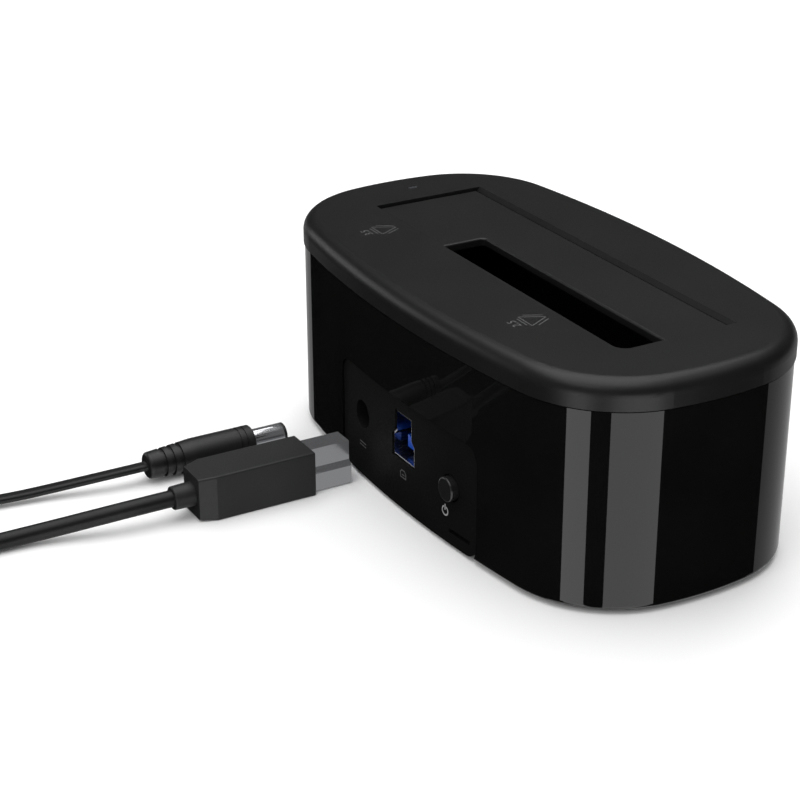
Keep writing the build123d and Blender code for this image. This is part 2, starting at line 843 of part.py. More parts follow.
insert_front = inside_place[1] + usb_insert_length
hump_height = usb_height - usb_shoulder - (usb_width - usb_hump_width) / 2
upper_z = usb_opening_bottom + usb_height - hump_height / 2
with BuildPart() as usb_port_insert:
    extrude(usb_profile(*usb_form, -usb_insert_play, inside_place), amount=-usb_insert_length)
    block((usb_x - usb_tongue_width / 2, usb_x + usb_tongue_width / 2),
          (insert_front - 0.5, insert_front + usb_tongue_length),
          (usb_opening_bottom + usb_tongue_bottom, usb_opening_bottom + usb_tongue_bottom + usb_tongue_height))
    block((usb_x - usb_upper_width / 2, usb_x + usb_upper_width / 2),
          (insert_front - 0.5, insert_front + usb_upper_length),
          (upper_z - usb_upper_tongue / 2, upper_z + usb_upper_tongue / 2))
save(usb_port_insert, "usb_port_insert")

# The socket stands on a moulded base, and the base on the board
base_top = usb_opening_bottom - usb_steel
with BuildPart() as usb_port_base:
    block((usb_x - usb_width / 2, usb_x + usb_width / 2),
          (usb_back_y, min(board_rear, usb_face_y) - usb_base_inset), (board_top, base_top))
save(usb_port_base, "usb_port_base")

# Power socket: a moulded block with a round bore and a centre pin
jack_front = rear_y(jack_x + jack_width / 2, flange_back) - jack_panel_gap
with BuildPart() as dc_jack:
    block((jack_x - jack_width / 2, jack_x + jack_width / 2),
          (jack_front - jack_length, jack_front), (board_top, board_top + jack_height))
    fillet(dc_jack.edges().filter_by(Axis.Y).group_by(Axis.Z)[-1], jack_width * 0.15)
    rod((jack_x, jack_front - jack_depth, jack_z), jack_bore, jack_depth + 1, Mode.SUBTRACT, "Y")
save(dc_jack, "dc_jack")

with BuildPart() as dc_jack_pin:
    rod((jack_x, jack_front - jack_depth, jack_z), jack_pin, jack_depth - 1, axis="Y")
    fillet(dc_jack_pin.edges().group_by(Axis.Y)[-1], jack_pin * 0.4)
save(dc_jack_pin, "dc_jack_pin")

# Power switch with its plunger, and the round cap that shows in the panel
button_panel_y = rear_y(button_x, front_inset)
button_back_y = rear_y(abs(button_x) + button_collar / 2, flange_back) - jack_panel_gap
collar_back_y = button_back_y - button_collar_width
stem_back_y = collar_back_y - stem_length
switch_front = stem_back_y - button_travel - plunger_play
plunger_tip = stem_back_y + plunger_grip
with BuildPart() as power_button:
    rod((button_x, collar_back_y, button_z), button_diameter,
        button_panel_y + button_proud - collar_back_y, axis="Y")
    fillet(power_button.edges().group_by(Axis.Y)[-1], button_diameter * 0.08)
    rod((button_x, collar_back_y, button_z), button_collar, button_collar_width, axis="Y")
    rod((button_x, stem_back_y, button_z), stem_diameter, stem_length + 0.1, axis="Y")
    square_bar((button_x, stem_back_y - 0.1, button_z), plunger_width + 2 * plunger_fit,
               plunger_grip + 0.1, Mode.SUBTRACT)
save(power_button, "power_button")

with BuildPart() as switch_plunger_part:
    plunger_back = switch_front - button_travel - plunger_play
    square_bar((button_x, plunger_back, button_z), plunger_width, plunger_tip - plunger_back)
save(switch_plunger_part, "switch_plunger")

with BuildPart() as power_switch:
    block((button_x - switch_width / 2, button_x + switch_width / 2),
          (switch_front - switch_length, switch_front), (board_top, 2 * button_z - board_top))
    guide_back = plunger_back - button_travel - plunger_play
    square_bar((button_x, guide_back, button_z), plunger_width + 2 * plunger_guide,
               switch_front - guide_back + 1, Mode.SUBTRACT)
save(power_switch, "power_switch")

# Socket panel: a matte insert that slides up behind the shell, with a flange round its edge
with BuildPart() as io_panel:
    add(ring(front_inset, flange_front, rim_height, dock_height) & panel_window(0, rim_height))
    add(ring(front_inset, flange_back, flange_bottom, dock_height) & panel_window(0, flange_bottom))
    add(ring(flange_front, flange_back, flange_bottom, dock_height) & panel_window(flange_lap, flange_bottom))
    extrude(usb_profile(*usb_form, usb_steel + usb_panel_gap, usb_place), amount=-dock_depth,
            mode=Mode.SUBTRACT)
    rod((jack_x, 0, jack_z), jack_panel_hole, dock_depth, Mode.SUBTRACT, "Y")
    rod((button_x, 0, button_z), button_hole, dock_depth, Mode.SUBTRACT, "Y")
    block((panel_slot_x - panel_slot_length / 2, panel_slot_x + panel_slot_length / 2), (0, dock_depth),
          (panel_slot_height - panel_slot_width / 2, panel_slot_height + panel_slot_width / 2), Mode.SUBTRACT)
save(io_panel, "io_panel")

# Small parts on the board
with BuildPart() as bridge_chip:
    with Locations((*chip_place, board_top + chip_height / 2)):
        Box(chip_size, chip_size, chip_height)
    chamfer(bridge_chip.edges().group_by(Axis.Z)[-1], chip_height * 0.15)
save(bridge_chip, "bridge_chip")

with BuildPart() as power_coil:
    with Locations((coil_x, board_rear - coil_inset, board_top + coil_height / 2)):
        Box(coil_size, coil_size, coil_height)
    fillet(power_coil.edges().filter_by(Axis.Z), coil_size * 0.15)
save(power_coil, "power_coil")

with BuildPart() as capacitors:
    for x in can_rows:
        rod((x, board_rear - can_inset, board_top), can_diameter, can_height)
        with Locations((x, board_rear - can_inset, board_top + can_height * 0.2)):
            Torus(can_diameter / 2, can_diameter * 0.06, mode=Mode.SUBTRACT)
save(capacitors, "capacitors")

with BuildPart() as status_lamp:
    with Locations((pipe_x, pipe_y, board_top + lamp_height / 2)):
        Box(lamp_size, lamp_size, lamp_height)
save(status_lamp, "status_lamp")

shoulder_top = cover_underside - pipe_gap
pipe_bottom = board_top + lamp_height + lamp_gap
with BuildPart() as light_pipe:
    block((pipe_x - window_width / 2, pipe_x + window_width / 2),
          (pipe_y - window_length / 2, pipe_y + window_length / 2),
          (pipe_bottom, dock_height))
    block((pipe_x - window_width / 2 - pipe_shoulder, pipe_x + window_width / 2 + pipe_shoulder),
          (pipe_y - window_length / 2 - pipe_shoulder, pipe_y + window_length / 2 + pipe_shoulder),
          (pipe_bottom, shoulder_top))
save(light_pipe, "light_pipe")

# Data plug: a steel tube in a squared moulded grip, with a short collar for the cord
plug_form = (plug_width, plug_hump_width, plug_shoulder, plug_height)
plug_middle = plug_grip_height / 2
plug_bottom = plug_middle - plug_height / 2
grip_start = plug_tip_y + plug_steel_length
grip_end = grip_start + plug_grip_length
with BuildPart() as usb_plug_shell:
    tube_length = plug_steel_length + plug_steel_hidden
    extrude(usb_profile(*plug_form, 0, (plug_x, plug_tip_y, plug_bottom)), amount=-tube_length)
    extrude(usb_profile(*plug_form, -usb_steel, (plug_x, plug_tip_y, plug_bottom)), amount=-tube_length,
            mode=Mode.SUBTRACT)
save(usb_plug_shell, "usb_plug_shell")

with BuildPart() as usb_plug_insert:
    lining_start = plug_tip_y + plug_lining_setback
    extrude(usb_profile(*plug_form, -usb_steel - usb_insert_play, (plug_x, lining_start, plug_bottom)),
            amount=-(grip_start + plug_steel_hidden - lining_start))
    extrude(usb_profile(*plug_form, -plug_lining, (plug_x, plug_tip_y, plug_bottom)),
            amount=-plug_steel_length, mode=Mode.SUBTRACT)
save(usb_plug_insert, "usb_plug_insert")

with BuildPart() as usb_plug_grip:
    with BuildSketch(Plane((plug_x, grip_start, plug_middle), x_dir=(1, 0, 0), z_dir=(0, 1, 0))):
        RectangleRounded(plug_grip_width, plug_grip_height, plug_grip_round)
    extrude(amount=plug_grip_length - plug_grip_taper)
    back = usb_plug_grip.faces().sort_by(Axis.Y)[-1]
    with BuildSketch(Plane((plug_x, grip_end, plug_middle), x_dir=(1, 0, 0), z_dir=(0, 1, 0))) as smaller:
        RectangleRounded(plug_grip_end_width, plug_grip_end_height, plug_grip_round)
    loft([back, smaller.sketch.faces()[0]])
    fillet(usb_plug_grip.edges().group_by(Axis.Y)[0], plug_grip_round * 0.8)
    extrude(usb_profile(*plug_form, plug_play, (plug_x, grip_start - 1, plug_bottom)),
            amount=-(plug_steel_hidden + 1 + plug_play), mode=Mode.SUBTRACT)
save(usb_plug_grip, "usb_plug_grip")

with BuildPart() as usb_plug_collar:
    rod((plug_x, grip_end, plug_middle), plug_collar_diameter, plug_collar_length, axis="Y",
        top=plug_collar_diameter * 0.94)
    fillet(usb_plug_collar.edges().group_by(Axis.Y)[-1], 0.4)
save(usb_plug_collar, "usb_plug_collar")

# Power plug: a plated barrel in a round grip that narrows towards the cord
barrel_z = dc_grip_front / 2
dc_grip_start = barrel_tip_y + barrel_length
dc_grip_end = dc_grip_start + dc_grip_length
with BuildPart() as dc_plug_barrel:
    barrel = barrel_length + barrel_hidden
    rod((barrel_x, barrel_tip_y + tip_ring_length, barrel_z), barrel_diameter, barrel - tip_ring_length, axis="Y")
    rod((barrel_x, barrel_tip_y, barrel_z), barrel_diameter - 2 * barrel_wall, barrel - barrel_floor,
        Mode.SUBTRACT, "Y")
save(dc_plug_barrel, "dc_plug_barrel")

with BuildPart() as dc_plug_tip:
    rod((barrel_x, barrel_tip_y, barrel_z), barrel_diameter, tip_ring_length, axis="Y")
    fillet(dc_plug_tip.edges().group_by(Axis.Y)[0], tip_ring_round)
    rod((barrel_x, barrel_tip_y, barrel_z), barrel_diameter - 2 * barrel_wall - 2 * lining_play,
        barrel - barrel_floor - 2 * lining_play, axis="Y")
    rod((barrel_x, barrel_tip_y - 1, barrel_z), barrel_bore, barrel - barrel_floor, Mode.SUBTRACT, "Y")
save(dc_plug_tip, "dc_plug_tip")

grip_axis = Axis((barrel_x, dc_grip_start, barrel_z), (0, 1, 0))
grip_plane = Plane((barrel_x, dc_grip_start, barrel_z), x_dir=(1, 0, 0), z_dir=(0, 0, 1))


def grip_radius(y):
    """The power plug grip's radius at a distance from its front: straight, then narrowing."""
    share = max(y - dc_front_length, 0) / (dc_grip_length - dc_front_length)
    return (dc_grip_front - share * (dc_grip_front - dc_grip_rear)) / 2


def cut_groove(y, width):
    """A groove half as deep as it is wide, round the grip."""
    with BuildSketch(grip_plane) as groove:
        with Locations((grip_radius(y), y)):
            Rectangle(width, width)
    revolve(groove.sketch, axis=grip_axis, mode=Mode.SUBTRACT)


with BuildPart() as dc_plug_grip:
    with BuildSketch(grip_plane) as half_grip:
        with BuildLine():
            Polyline(
                (0, 0),
                (grip_radius(0), 0),
                (grip_radius(0), dc_front_length),
                (grip_radius(dc_grip_length), dc_grip_length),
                (0, dc_grip_length),
                close=True,
            )
        make_face()
        outer_corners = half_grip.vertices().sort_by(Axis.X)[-3:].sort_by(Axis.Y)
        chamfer(outer_corners[0], dc_front_chamfer)
        fillet(outer_corners[-1], dc_rear_round)
    revolve(axis=grip_axis)
    for y in dc_front_grooves:
        cut_groove(y, dc_front_groove)
    for y in dc_rear_grooves:
        cut_groove(y, dc_rear_groove)
    rod((barrel_x, dc_grip_start - 1, barrel_z), barrel_diameter + 2 * plug_play,
        barrel_hidden + 1 + plug_play, Mode.SUBTRACT, "Y")
save(dc_plug_grip, "dc_plug_grip")


def bend_radii(points):
    """The radius at each corner of a cord's route: as large as its two runs allow."""
    radii = []
    for before, corner, after in zip(points, points[1:], points[2:]):
        run_in = Vector(*corner) - Vector(*before)
        run_out = Vector(*after) - Vector(*corner)
        turn = radians(run_in.get_angle(run_out))
        radii.append(0.45 * min(run_in.length, run_out.length) / tan(turn / 2))
    return radii


def cord_tube(points, diameter, label):
    """A cord's plain tube: straight runs joined by tangent arcs."""
    radii = bend_radii(points)
    with BuildPart() as tube:
        with BuildLine() as route:
            FilletPolyline(*points, radius=radii)
        path = route.wires()[0]
        with BuildSketch(Plane(path @ 0, z_dir=path % 0)):
            Circle(diameter / 2)
        sweep(path=path)
    section = pi * diameter**2 / 4
    print(label, "length", round(path.length, 1), "radii", [round(r, 1) for r in radii],
          "volume over section", round(tube.part.volume / section, 1))
    return tube


def coil_ring(centre, mean_radius, columns, layers, cord_width, layer_height):
    """The outer shape of a neat round coil, lying on its tie."""
    width = columns * cord_width
    height = layers * layer_height
    with BuildPart() as ring_part:
        with BuildSketch(Plane((*centre, 0), x_dir=(1, 0, 0), z_dir=(0, -1, 0))) as section:
            with Locations((mean_radius, tie_thickness + tie_play + height / 2)):
                Rectangle(width, height)
            fillet(section.vertices(), layer_height * 0.4)
        revolve(axis=Axis((*centre, 0), (0, 0, 1)))
    return ring_part, width, height


def coil_tie(centre, mean_radius, width, height, angle):
    """A soft band round one side of a coil, wide enough for the bend of the coil's inner side."""
    inner = mean_radius - width / 2
    bulge = inner - sqrt(inner**2 - (tie_width / 2) ** 2)
    inside_width = width + bulge + 2 * tie_play
    inside_height = height + 2 * tie_play
    away = Location((*centre, tie_thickness + tie_play + height / 2), (0, 0, angle))
    away = away * Location((mean_radius - bulge / 2, 0, 0))
    with BuildPart() as band:
        with BuildSketch(Plane(away) * Plane.XZ.offset(-tie_width / 2)):
            RectangleRounded(inside_width + 2 * tie_thickness, inside_height + 2 * tie_thickness, tie_thickness)
            Rectangle(inside_width, inside_height, mode=Mode.SUBTRACT)
        extrude(amount=tie_width)
    return band


# Data cord: off the plug, down to the table and away into its coil
usb_coil_outer = usb_coil_radius + (usb_coil_columns - 1) * usb_cord_diameter / 2
usb_coil_low = tie_thickness + usb_cord_diameter / 2
usb_coil_high = usb_coil_low + (usb_coil_layers - 1) * usb_cord_diameter
usb_route = [
    (plug_x, grip_end + plug_collar_length, plug_middle),
    (plug_x, 92.5, plug_middle),
    (plug_x + 1.7, 101.3, 4.6),
    (plug_x + 3.9, 108.7, 3.3),
    (plug_x + 5.5, 116.2, 2.4),
    (plug_x + 6.0, 125.3, 2.1),
    (plug_x + 6.1, 140.0, 2.4),
    (usb_coil_centre[0] + usb_coil_outer, 158.0, usb_coil_low),
]
usb_cord = cord_tube(usb_route, usb_cord_diameter, "usb_cord")
save(usb_cord, "usb_cord")
usb_cord_coil, usb_coil_width, usb_coil_height = coil_ring(
    usb_coil_centre, usb_coil_radius, usb_coil_columns, usb_coil_layers, usb_cord_diameter,
    usb_cord_diameter)
save(usb_cord_coil, "usb_cord_coil")
usb_cord_tie = coil_tie(usb_coil_centre, usb_coil_radius, usb_coil_width, usb_coil_height, -150)
save(usb_cord_tie, "usb_cord_tie")

# The flat plug at the far end lies beside the coil
flat_middle = flat_grip_height / 2
relief_end_x = flat_plug_start - flat_relief_length
flat_grip_end = relief_end_x - flat_grip_length
flat_steel_start = flat_grip_end + plug_steel_hidden
flat_tip_x = flat_steel_start - flat_steel_length
usb_tail_route = [
    (usb_coil_centre[0] + 6.0, usb_coil_centre[1] + usb_coil_outer - 0.4, usb_coil_high),
    (usb_coil_centre[0] - 2.0, usb_coil_centre[1] + usb_coil_outer + 0.6, usb_coil_high - 0.2),
    (flat_plug_start + 5.6, flat_plug_y, flat_middle),
    (flat_plug_start, flat_plug_y, flat_middle),
]
usb_cord_tail = cord_tube(usb_tail_route, usb_cord_diameter, "usb_cord_tail")
save(usb_cord_tail, "usb_cord_tail")

with BuildPart() as usb_a_relief:
    rod((flat_plug_start - flat_relief_length, flat_plug_y, flat_middle), flat_relief_large,
        flat_relief_length, axis="X", top=flat_relief_small)
save(usb_a_relief, "usb_a_relief")

with BuildPart() as usb_a_grip:
    with BuildSketch(Plane((relief_end_x, flat_plug_y, flat_middle), x_dir=(0, 1, 0), z_dir=(-1, 0, 0))):
        RectangleRounded(flat_grip_width, flat_grip_height, 1.8)
    extrude(amount=flat_grip_length)
    with BuildSketch(Plane((flat_steel_start, flat_plug_y, flat_middle), x_dir=(0, 1, 0), z_dir=(-1, 0, 0))):
        Rectangle(flat_steel_width + 2 * plug_play, flat_steel_height + 2 * plug_play)
    extrude(amount=flat_steel_length, mode=Mode.SUBTRACT)
save(usb_a_grip, "usb_a_grip")

with BuildPart() as usb_a_shell:
    with BuildSketch(Plane((flat_steel_start, flat_plug_y, flat_middle), x_dir=(0, 1, 0), z_dir=(-1, 0, 0))):
        Rectangle(flat_steel_width, flat_steel_height)
        Rectangle(flat_steel_width - 2 * flat_steel_wall, flat_steel_height - 2 * flat_steel_wall,
                  mode=Mode.SUBTRACT)
    extrude(amount=flat_steel_length)
    with Locations((flat_tip_x + flat_window_place, flat_plug_y, flat_middle + flat_steel_height / 2)):
        with GridLocations(1, 2 * flat_window_spread, 1, 2):
            Box(flat_window_size, flat_window_size, flat_steel_height / 2, mode=Mode.SUBTRACT)
save(usb_a_shell, "usb_a_shell")

with BuildPart() as usb_a_insert:
    wall = flat_steel_wall + usb_insert_play
    low = flat_middle - flat_steel_height / 2 + wall
    block((flat_tip_x + 2 * flat_steel_wall, flat_steel_start),
          (flat_plug_y - flat_steel_width / 2 + wall, flat_plug_y + flat_steel_width / 2 - wall),
          (low, low + flat_insert_height))
save(usb_a_insert, "usb_a_insert")

# Power cord: off its plug, down to the table and away into its coil
dc_coil_outer = dc_coil_radius + (dc_coil_columns - 1) * dc_cord_diameter / 2
dc_coil_low = tie_thickness + dc_layer_height / 2
dc_coil_high = dc_coil_low + (dc_coil_layers - 1) * dc_layer_height
dc_route = [
    (barrel_x, dc_grip_end, barrel_z),
    (barrel_x, 88.0, barrel_z),
    (barrel_x + 1.4, 95.8, 3.4),
    (barrel_x + 3.3, 103.3, 2.4),
    (barrel_x + 4.6, 111.9, 1.8),
    (dc_coil_centre[0] - dc_coil_outer - 0.4, 124.0, dc_coil_low),
    (dc_coil_centre[0] - dc_coil_outer, 136.0, dc_coil_low + 0.1),
]
dc_cord = cord_tube(dc_route, dc_cord_diameter, "dc_cord")
save(dc_cord, "dc_cord")
dc_cord_coil, dc_coil_width, dc_coil_height = coil_ring(
    dc_coil_centre, dc_coil_radius, dc_coil_columns, dc_coil_layers, dc_cord_diameter,
    dc_layer_height)
save(dc_cord_coil, "dc_cord_coil")
dc_cord_tie = coil_tie(dc_coil_centre, dc_coil_radius, dc_coil_width, dc_coil_height, -30)
save(dc_cord_tie, "dc_cord_tie")

# Wall adapter: a two-part plastic case with two flat blades, its cord end turned away from the dock
adapter_middle = adapter_height / 2
relief_x = adapter_near_x + adapter_relief_length
dc_tail_route = [
    (dc_coil_centre[0] + 3.0, dc_coil_centre[1] + dc_coil_outer - 0.2, dc_coil_high),
    (dc_coil_centre[0] + 19.0, dc_coil_centre[1] + dc_coil_outer + 0.2, dc_coil_high - 0.8),
    (relief_x + 10.0, adapter_y - 26.0, dc_coil_high - 2.6),
    (relief_x + 17.8, adapter_y - 18.6, dc_coil_high - 2.0),
    (relief_x + 17.4, adapter_y - 7.4, 9.4),
    (relief_x + 10.2, adapter_y, adapter_middle),
    (relief_x, adapter_y, adapter_middle),
]
dc_cord_tail = cord_tube(dc_tail_route, dc_cord_diameter, "dc_cord_tail")
save(dc_cord_tail, "dc_cord_tail")

with BuildPart() as adapter_relief:
    rod((adapter_near_x, adapter_y, adapter_middle), adapter_relief_large, adapter_relief_length,
        axis="X", top=adapter_relief_small)
save(adapter_relief, "adapter_relief")

adapter_x = adapter_near_x - adapter_length / 2


def blade_pair(play, top):
    """The two flat blades, grown by a play, up to a height."""
    with Locations((adapter_x, adapter_y, adapter_height - blade_hidden - play)):
        with GridLocations(1, blade_spacing, 1, 2):
            Box(blade_width + 2 * play, blade_thickness + 2 * play, top - adapter_height + blade_hidden + play,
                align=(Align.CENTER, Align.CENTER, Align.MIN),
                mode=Mode.SUBTRACT if play else Mode.ADD)


with BuildPart() as seam_groove:
    with Locations((adapter_x, adapter_y, adapter_height * adapter_seam_share)):
        Box(adapter_length + 1, adapter_width + 1, adapter_seam)
        Box(adapter_length - 2 * adapter_seam, adapter_width - 2 * adapter_seam, adapter_seam,
            mode=Mode.SUBTRACT)

with BuildPart() as adapter_case:
    with Locations((adapter_x, adapter_y, adapter_middle)):
        Box(adapter_length, adapter_width, adapter_height)
    fillet(adapter_case.edges(), adapter_fillet)
    add(seam_groove.part, mode=Mode.SUBTRACT)
    blade_pair(plug_play, adapter_height + 1)
save(adapter_case, "adapter_case")

with BuildPart() as adapter_blades:
    blade_pair(0, adapter_height + blade_length)
    chamfer(adapter_blades.edges().group_by(Axis.Z)[-1], blade_thickness * 0.25)
save(adapter_blades, "adapter_blades")
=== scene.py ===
# A hard drive docking station seen from behind, with its data lead and its power lead.
# Metres, +Z up, X along the dock and +Y out of the rear face with the sockets.

import math

import bpy
from mathutils import Matrix, Vector


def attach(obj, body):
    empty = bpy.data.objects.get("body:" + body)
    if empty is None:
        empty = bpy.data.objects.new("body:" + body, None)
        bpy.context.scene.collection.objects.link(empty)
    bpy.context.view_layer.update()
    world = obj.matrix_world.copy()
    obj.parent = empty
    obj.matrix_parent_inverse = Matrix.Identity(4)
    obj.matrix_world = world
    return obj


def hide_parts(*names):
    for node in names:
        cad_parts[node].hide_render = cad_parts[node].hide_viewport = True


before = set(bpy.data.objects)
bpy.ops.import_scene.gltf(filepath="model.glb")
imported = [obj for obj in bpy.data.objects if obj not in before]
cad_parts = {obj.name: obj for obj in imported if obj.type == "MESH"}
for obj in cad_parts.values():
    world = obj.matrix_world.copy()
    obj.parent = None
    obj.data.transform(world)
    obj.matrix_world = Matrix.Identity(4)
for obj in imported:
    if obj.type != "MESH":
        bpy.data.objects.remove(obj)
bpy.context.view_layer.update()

# Bottom cover: a plain ABS plate inside the shell's rim, held up by four screws from below.
# Its black is dull and open-grained, because nobody sees it in use.
# Sizes are given in millimetres, and MM turns them into metres.
MM = 0.001
colour_drift_mm = 18


def linear(code):
    """A colour written as sRGB hex, as Blender's linear values with full alpha."""
    channels = [int(code[i:i + 2], 16) / 255 for i in (1, 3, 5)]
    return [c / 12.92 if c <= 0.04045 else ((c + 0.055) / 1.055) ** 2.4 for c in channels] + [1.0]


def add_node(tree, kind, inputs=None, **settings):
    """Adds a node with its settings; an input is a plain value or the socket that feeds it."""
    node = tree.nodes.new(kind)
    for name, value in settings.items():
        setattr(node, name, value)
    for name, value in (inputs or {}).items():
        if isinstance(value, bpy.types.NodeSocket):
            tree.links.new(value, node.inputs[name])
        else:
            node.inputs[name].default_value = value
    return node


def new_material(name, shader_inputs):
    """A material with one Principled shader, and its tree to build on."""
    material = bpy.data.materials.new(name)
    material.use_nodes = True
    tree = material.node_tree
    tree.nodes.clear()
    shader = add_node(tree, "ShaderNodeBsdfPrincipled", shader_inputs)
    add_node(tree, "ShaderNodeOutputMaterial", {"Surface": shader.outputs["BSDF"]})
    return material, tree, shader


def moulded(name, low, high, roughness, grain_mm, depth_mm, **shader_inputs):
    """Moulded plastic or rubber: a colour that drifts a little, and a grain that breaks up the gloss."""
    named = {key.replace("_", " "): value for key, value in shader_inputs.items()}
    material, tree, shader = new_material(name, named)
    where = add_node(tree, "ShaderNodeTexCoord").outputs["Object"]
    drift = add_node(tree, "ShaderNodeTexNoise", {
        "Vector": where, "Scale": 1 / (colour_drift_mm * MM), "Detail": 3.0})
    colour = add_node(tree, "ShaderNodeValToRGB", {"Fac": drift.outputs["Fac"]})
    colour.color_ramp.elements[0].position = 0.35
    colour.color_ramp.elements[0].color = linear(low)
    colour.color_ramp.elements[1].position = 0.65
    colour.color_ramp.elements[1].color = linear(high)
    grain = add_node(tree, "ShaderNodeTexNoise", {
        "Vector": where, "Scale": 1 / (grain_mm * MM), "Detail": 2.0})
    gloss = add_node(tree, "ShaderNodeMapRange", {
        "Value": grain.outputs["Fac"], "From Min": 0.3, "From Max": 0.7,
        "To Min": roughness[0], "To Max": roughness[1]})
    relief = add_node(tree, "ShaderNodeBump", {
        "Height": grain.outputs["Fac"], "Strength": 1.0, "Distance": depth_mm * MM})
    tree.links.new(colour.outputs["Color"], shader.inputs["Base Color"])
    tree.links.new(gloss.outputs["Result"], shader.inputs["Roughness"])
    tree.links.new(relief.outputs["Normal"], shader.inputs["Normal"])
    return material


def dress(material, *names):
    """Gives CAD nodes their material."""
    for name in names:
        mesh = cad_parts[name].data
        mesh.materials.clear()
        mesh.materials.append(material)


plain_black = moulded("plain_black_abs", "#0c0c0d", "#111112", (0.45, 0.6), 0.5, 0.01,
                      Specular_IOR_Level=0.35)
dress(plain_black, "bottom_cover")

# Feet: four black silicone discs, punched from sheet and stuck into shallow recesses.
# Silicone takes no shine, only a dusty softness.
foot_silicone = moulded("punched_black_silicone", "#141415", "#1b1b1c", (0.75, 0.88), 0.6, 0.01)
dress(foot_silicone, "rubber_feet")

# Screws: pan-head steel, cold-formed, with zinc plate over the marks of the die.
# The plate gives a pale, slightly uneven shine.


def metal(name, colour, roughness, brush_mm, along):
    """Plated or drawn metal: fine marks drawn out along one axis vary the gloss."""
    material, tree, shader = new_material(name, {"Base Color": linear(colour), "Metallic": 1.0})
    where = add_node(tree, "ShaderNodeTexCoord").outputs["Object"]
    stretch = [1 / (brush_mm * MM)] * 3
    stretch["XYZ".index(along)] = 1 / (30 * brush_mm * MM)
    marks = add_node(tree, "ShaderNodeMapping", {"Vector": where, "Scale": stretch})
    noise = add_node(tree, "ShaderNodeTexNoise", {
        "Vector": marks.outputs["Vector"], "Scale": 1.0, "Detail": 3.0})
    gloss = add_node(tree, "ShaderNodeMapRange", {
        "Value": noise.outputs["Fac"], "From Min": 0.3, "From Max": 0.7,
        "To Min": roughness[0], "To Max": roughness[1]})
    relief = add_node(tree, "ShaderNodeBump", {
        "Height": noise.outputs["Fac"], "Strength": 0.5, "Distance": 0.001 * MM})
    tree.links.new(gloss.outputs["Result"], shader.inputs["Roughness"])
    tree.links.new(relief.outputs["Normal"], shader.inputs["Normal"])
    return material


zinc_steel = metal("zinc_plated_steel", "#a3a4a6", (0.25, 0.4), 0.2, "Z")
dress(zinc_steel, "case_screws", "well_screws", "board_screws")

# Main board: glass laminate under a green solder mask, which is glossy with a faint orange peel.
# The chip and the coil are pressed from black powder; the cans are drawn aluminium.
solder_mask = moulded("green_solder_mask", "#0d3a22", "#0f4527", (0.22, 0.34), 1.2, 0.004)
dress(solder_mask, "main_board")
pressed_black = moulded("pressed_black_epoxy", "#161617", "#1d1d1e", (0.5, 0.62), 0.3, 0.006)
dress(pressed_black, "bridge_chip", "power_coil")
can_aluminium = metal("drawn_can_aluminium", "#c8c9cb", (0.25, 0.35), 0.1, "Z")
dress(can_aluminium, "capacitors")
lamp_white = moulded("white_lamp_resin", "#d8d8d2", "#e2e2dc", (0.3, 0.4), 0.5, 0.004)
dress(lamp_white, "status_lamp")

# Drive connector: black glass-filled nylon, moulded, with flat contacts pressed into its slots.
# The contacts are stamped phosphor bronze with a thin gold flash, warm and bright.
connector_nylon = moulded("black_glass_filled_nylon", "#101011", "#161617", (0.4, 0.55), 0.4, 0.008)
dress(connector_nylon, "drive_connector", "usb_port_base")
gold_flash = metal("gold_flashed_bronze", "#c9a452", (0.2, 0.3), 0.1, "Z")
dress(gold_flash, "connector_contacts")

# Data socket: a folded steel shell with bright nickel plate, round a blue moulded insert.
# The blue is deep in the shade of the shell and vivid where light gets in.
socket_nickel = metal("nickel_plated_socket_steel", "#9a9b9f", (0.16, 0.28), 0.15, "Y")
dress(socket_nickel, "usb_port_shell")
socket_blue = moulded("blue_moulded_nylon", "#0a3f9e", "#0c48b4", (0.28, 0.4), 0.8, 0.004)
dress(socket_blue, "usb_port_insert")

# Power socket: a black nylon block with a bright nickel pin in the middle of its bore.
jack_nylon = moulded("black_jack_nylon", "#060607", "#09090a", (0.35, 0.5), 0.4, 0.006,
                     Specular_IOR_Level=0.3)
dress(jack_nylon, "dc_jack")
pin_nickel = metal("turned_nickel_pin", "#cfd0d3", (0.1, 0.2), 0.1, "Y")
dress(pin_nickel, "dc_jack_pin")

# Power switch: a tinned steel can with a nylon plunger, and on it a moulded ABS cap.
# The cap is a shade greyer than the panel round it and has a soft gloss on its rounded edge.
switch_tin = metal("tinned_switch_steel", "#8f9092", (0.3, 0.42), 0.2, "X")
dress(switch_tin, "power_switch")
plunger_nylon = moulded("natural_nylon", "#cfcdc4", "#d8d6ce", (0.4, 0.5), 1.0, 0.004)
dress(plunger_nylon, "switch_plunger")
button_abs = moulded("satin_button_abs", "#151516", "#19191a", (0.3, 0.34), 0.4, 0.001,
                     Specular_IOR_Level=0.4)
dress(button_abs, "power_button")

# Light pipe: smoked acrylic, moulded, that carries the lamp's light to its window in the cover.
# Unlit it is only a slightly paler slip of grey in the black.
acrylic, acrylic_tree, acrylic_shader = new_material("smoked_acrylic", {
    "IOR": 1.49, "Transmission Weight": 0.35, "Specular IOR Level": 0.3})
haze = add_node(acrylic_tree, "ShaderNodeTexNoise", {"Scale": 1 / (1.5 * MM), "Detail": 2.0})
smoke = add_node(acrylic_tree, "ShaderNodeValToRGB", {"Fac": haze.outputs["Fac"]})
smoke.color_ramp.elements[0].color = linear("#3c3d40")
smoke.color_ramp.elements[1].color = linear("#4c4d51")
polish = add_node(acrylic_tree, "ShaderNodeMapRange", {
    "Value": haze.outputs["Fac"], "To Min": 0.15, "To Max": 0.3})
acrylic_tree.links.new(smoke.outputs["Color"], acrylic_shader.inputs["Base Color"])
acrylic_tree.links.new(polish.outputs["Result"], acrylic_shader.inputs["Roughness"])
dress(acrylic, "light_pipe")

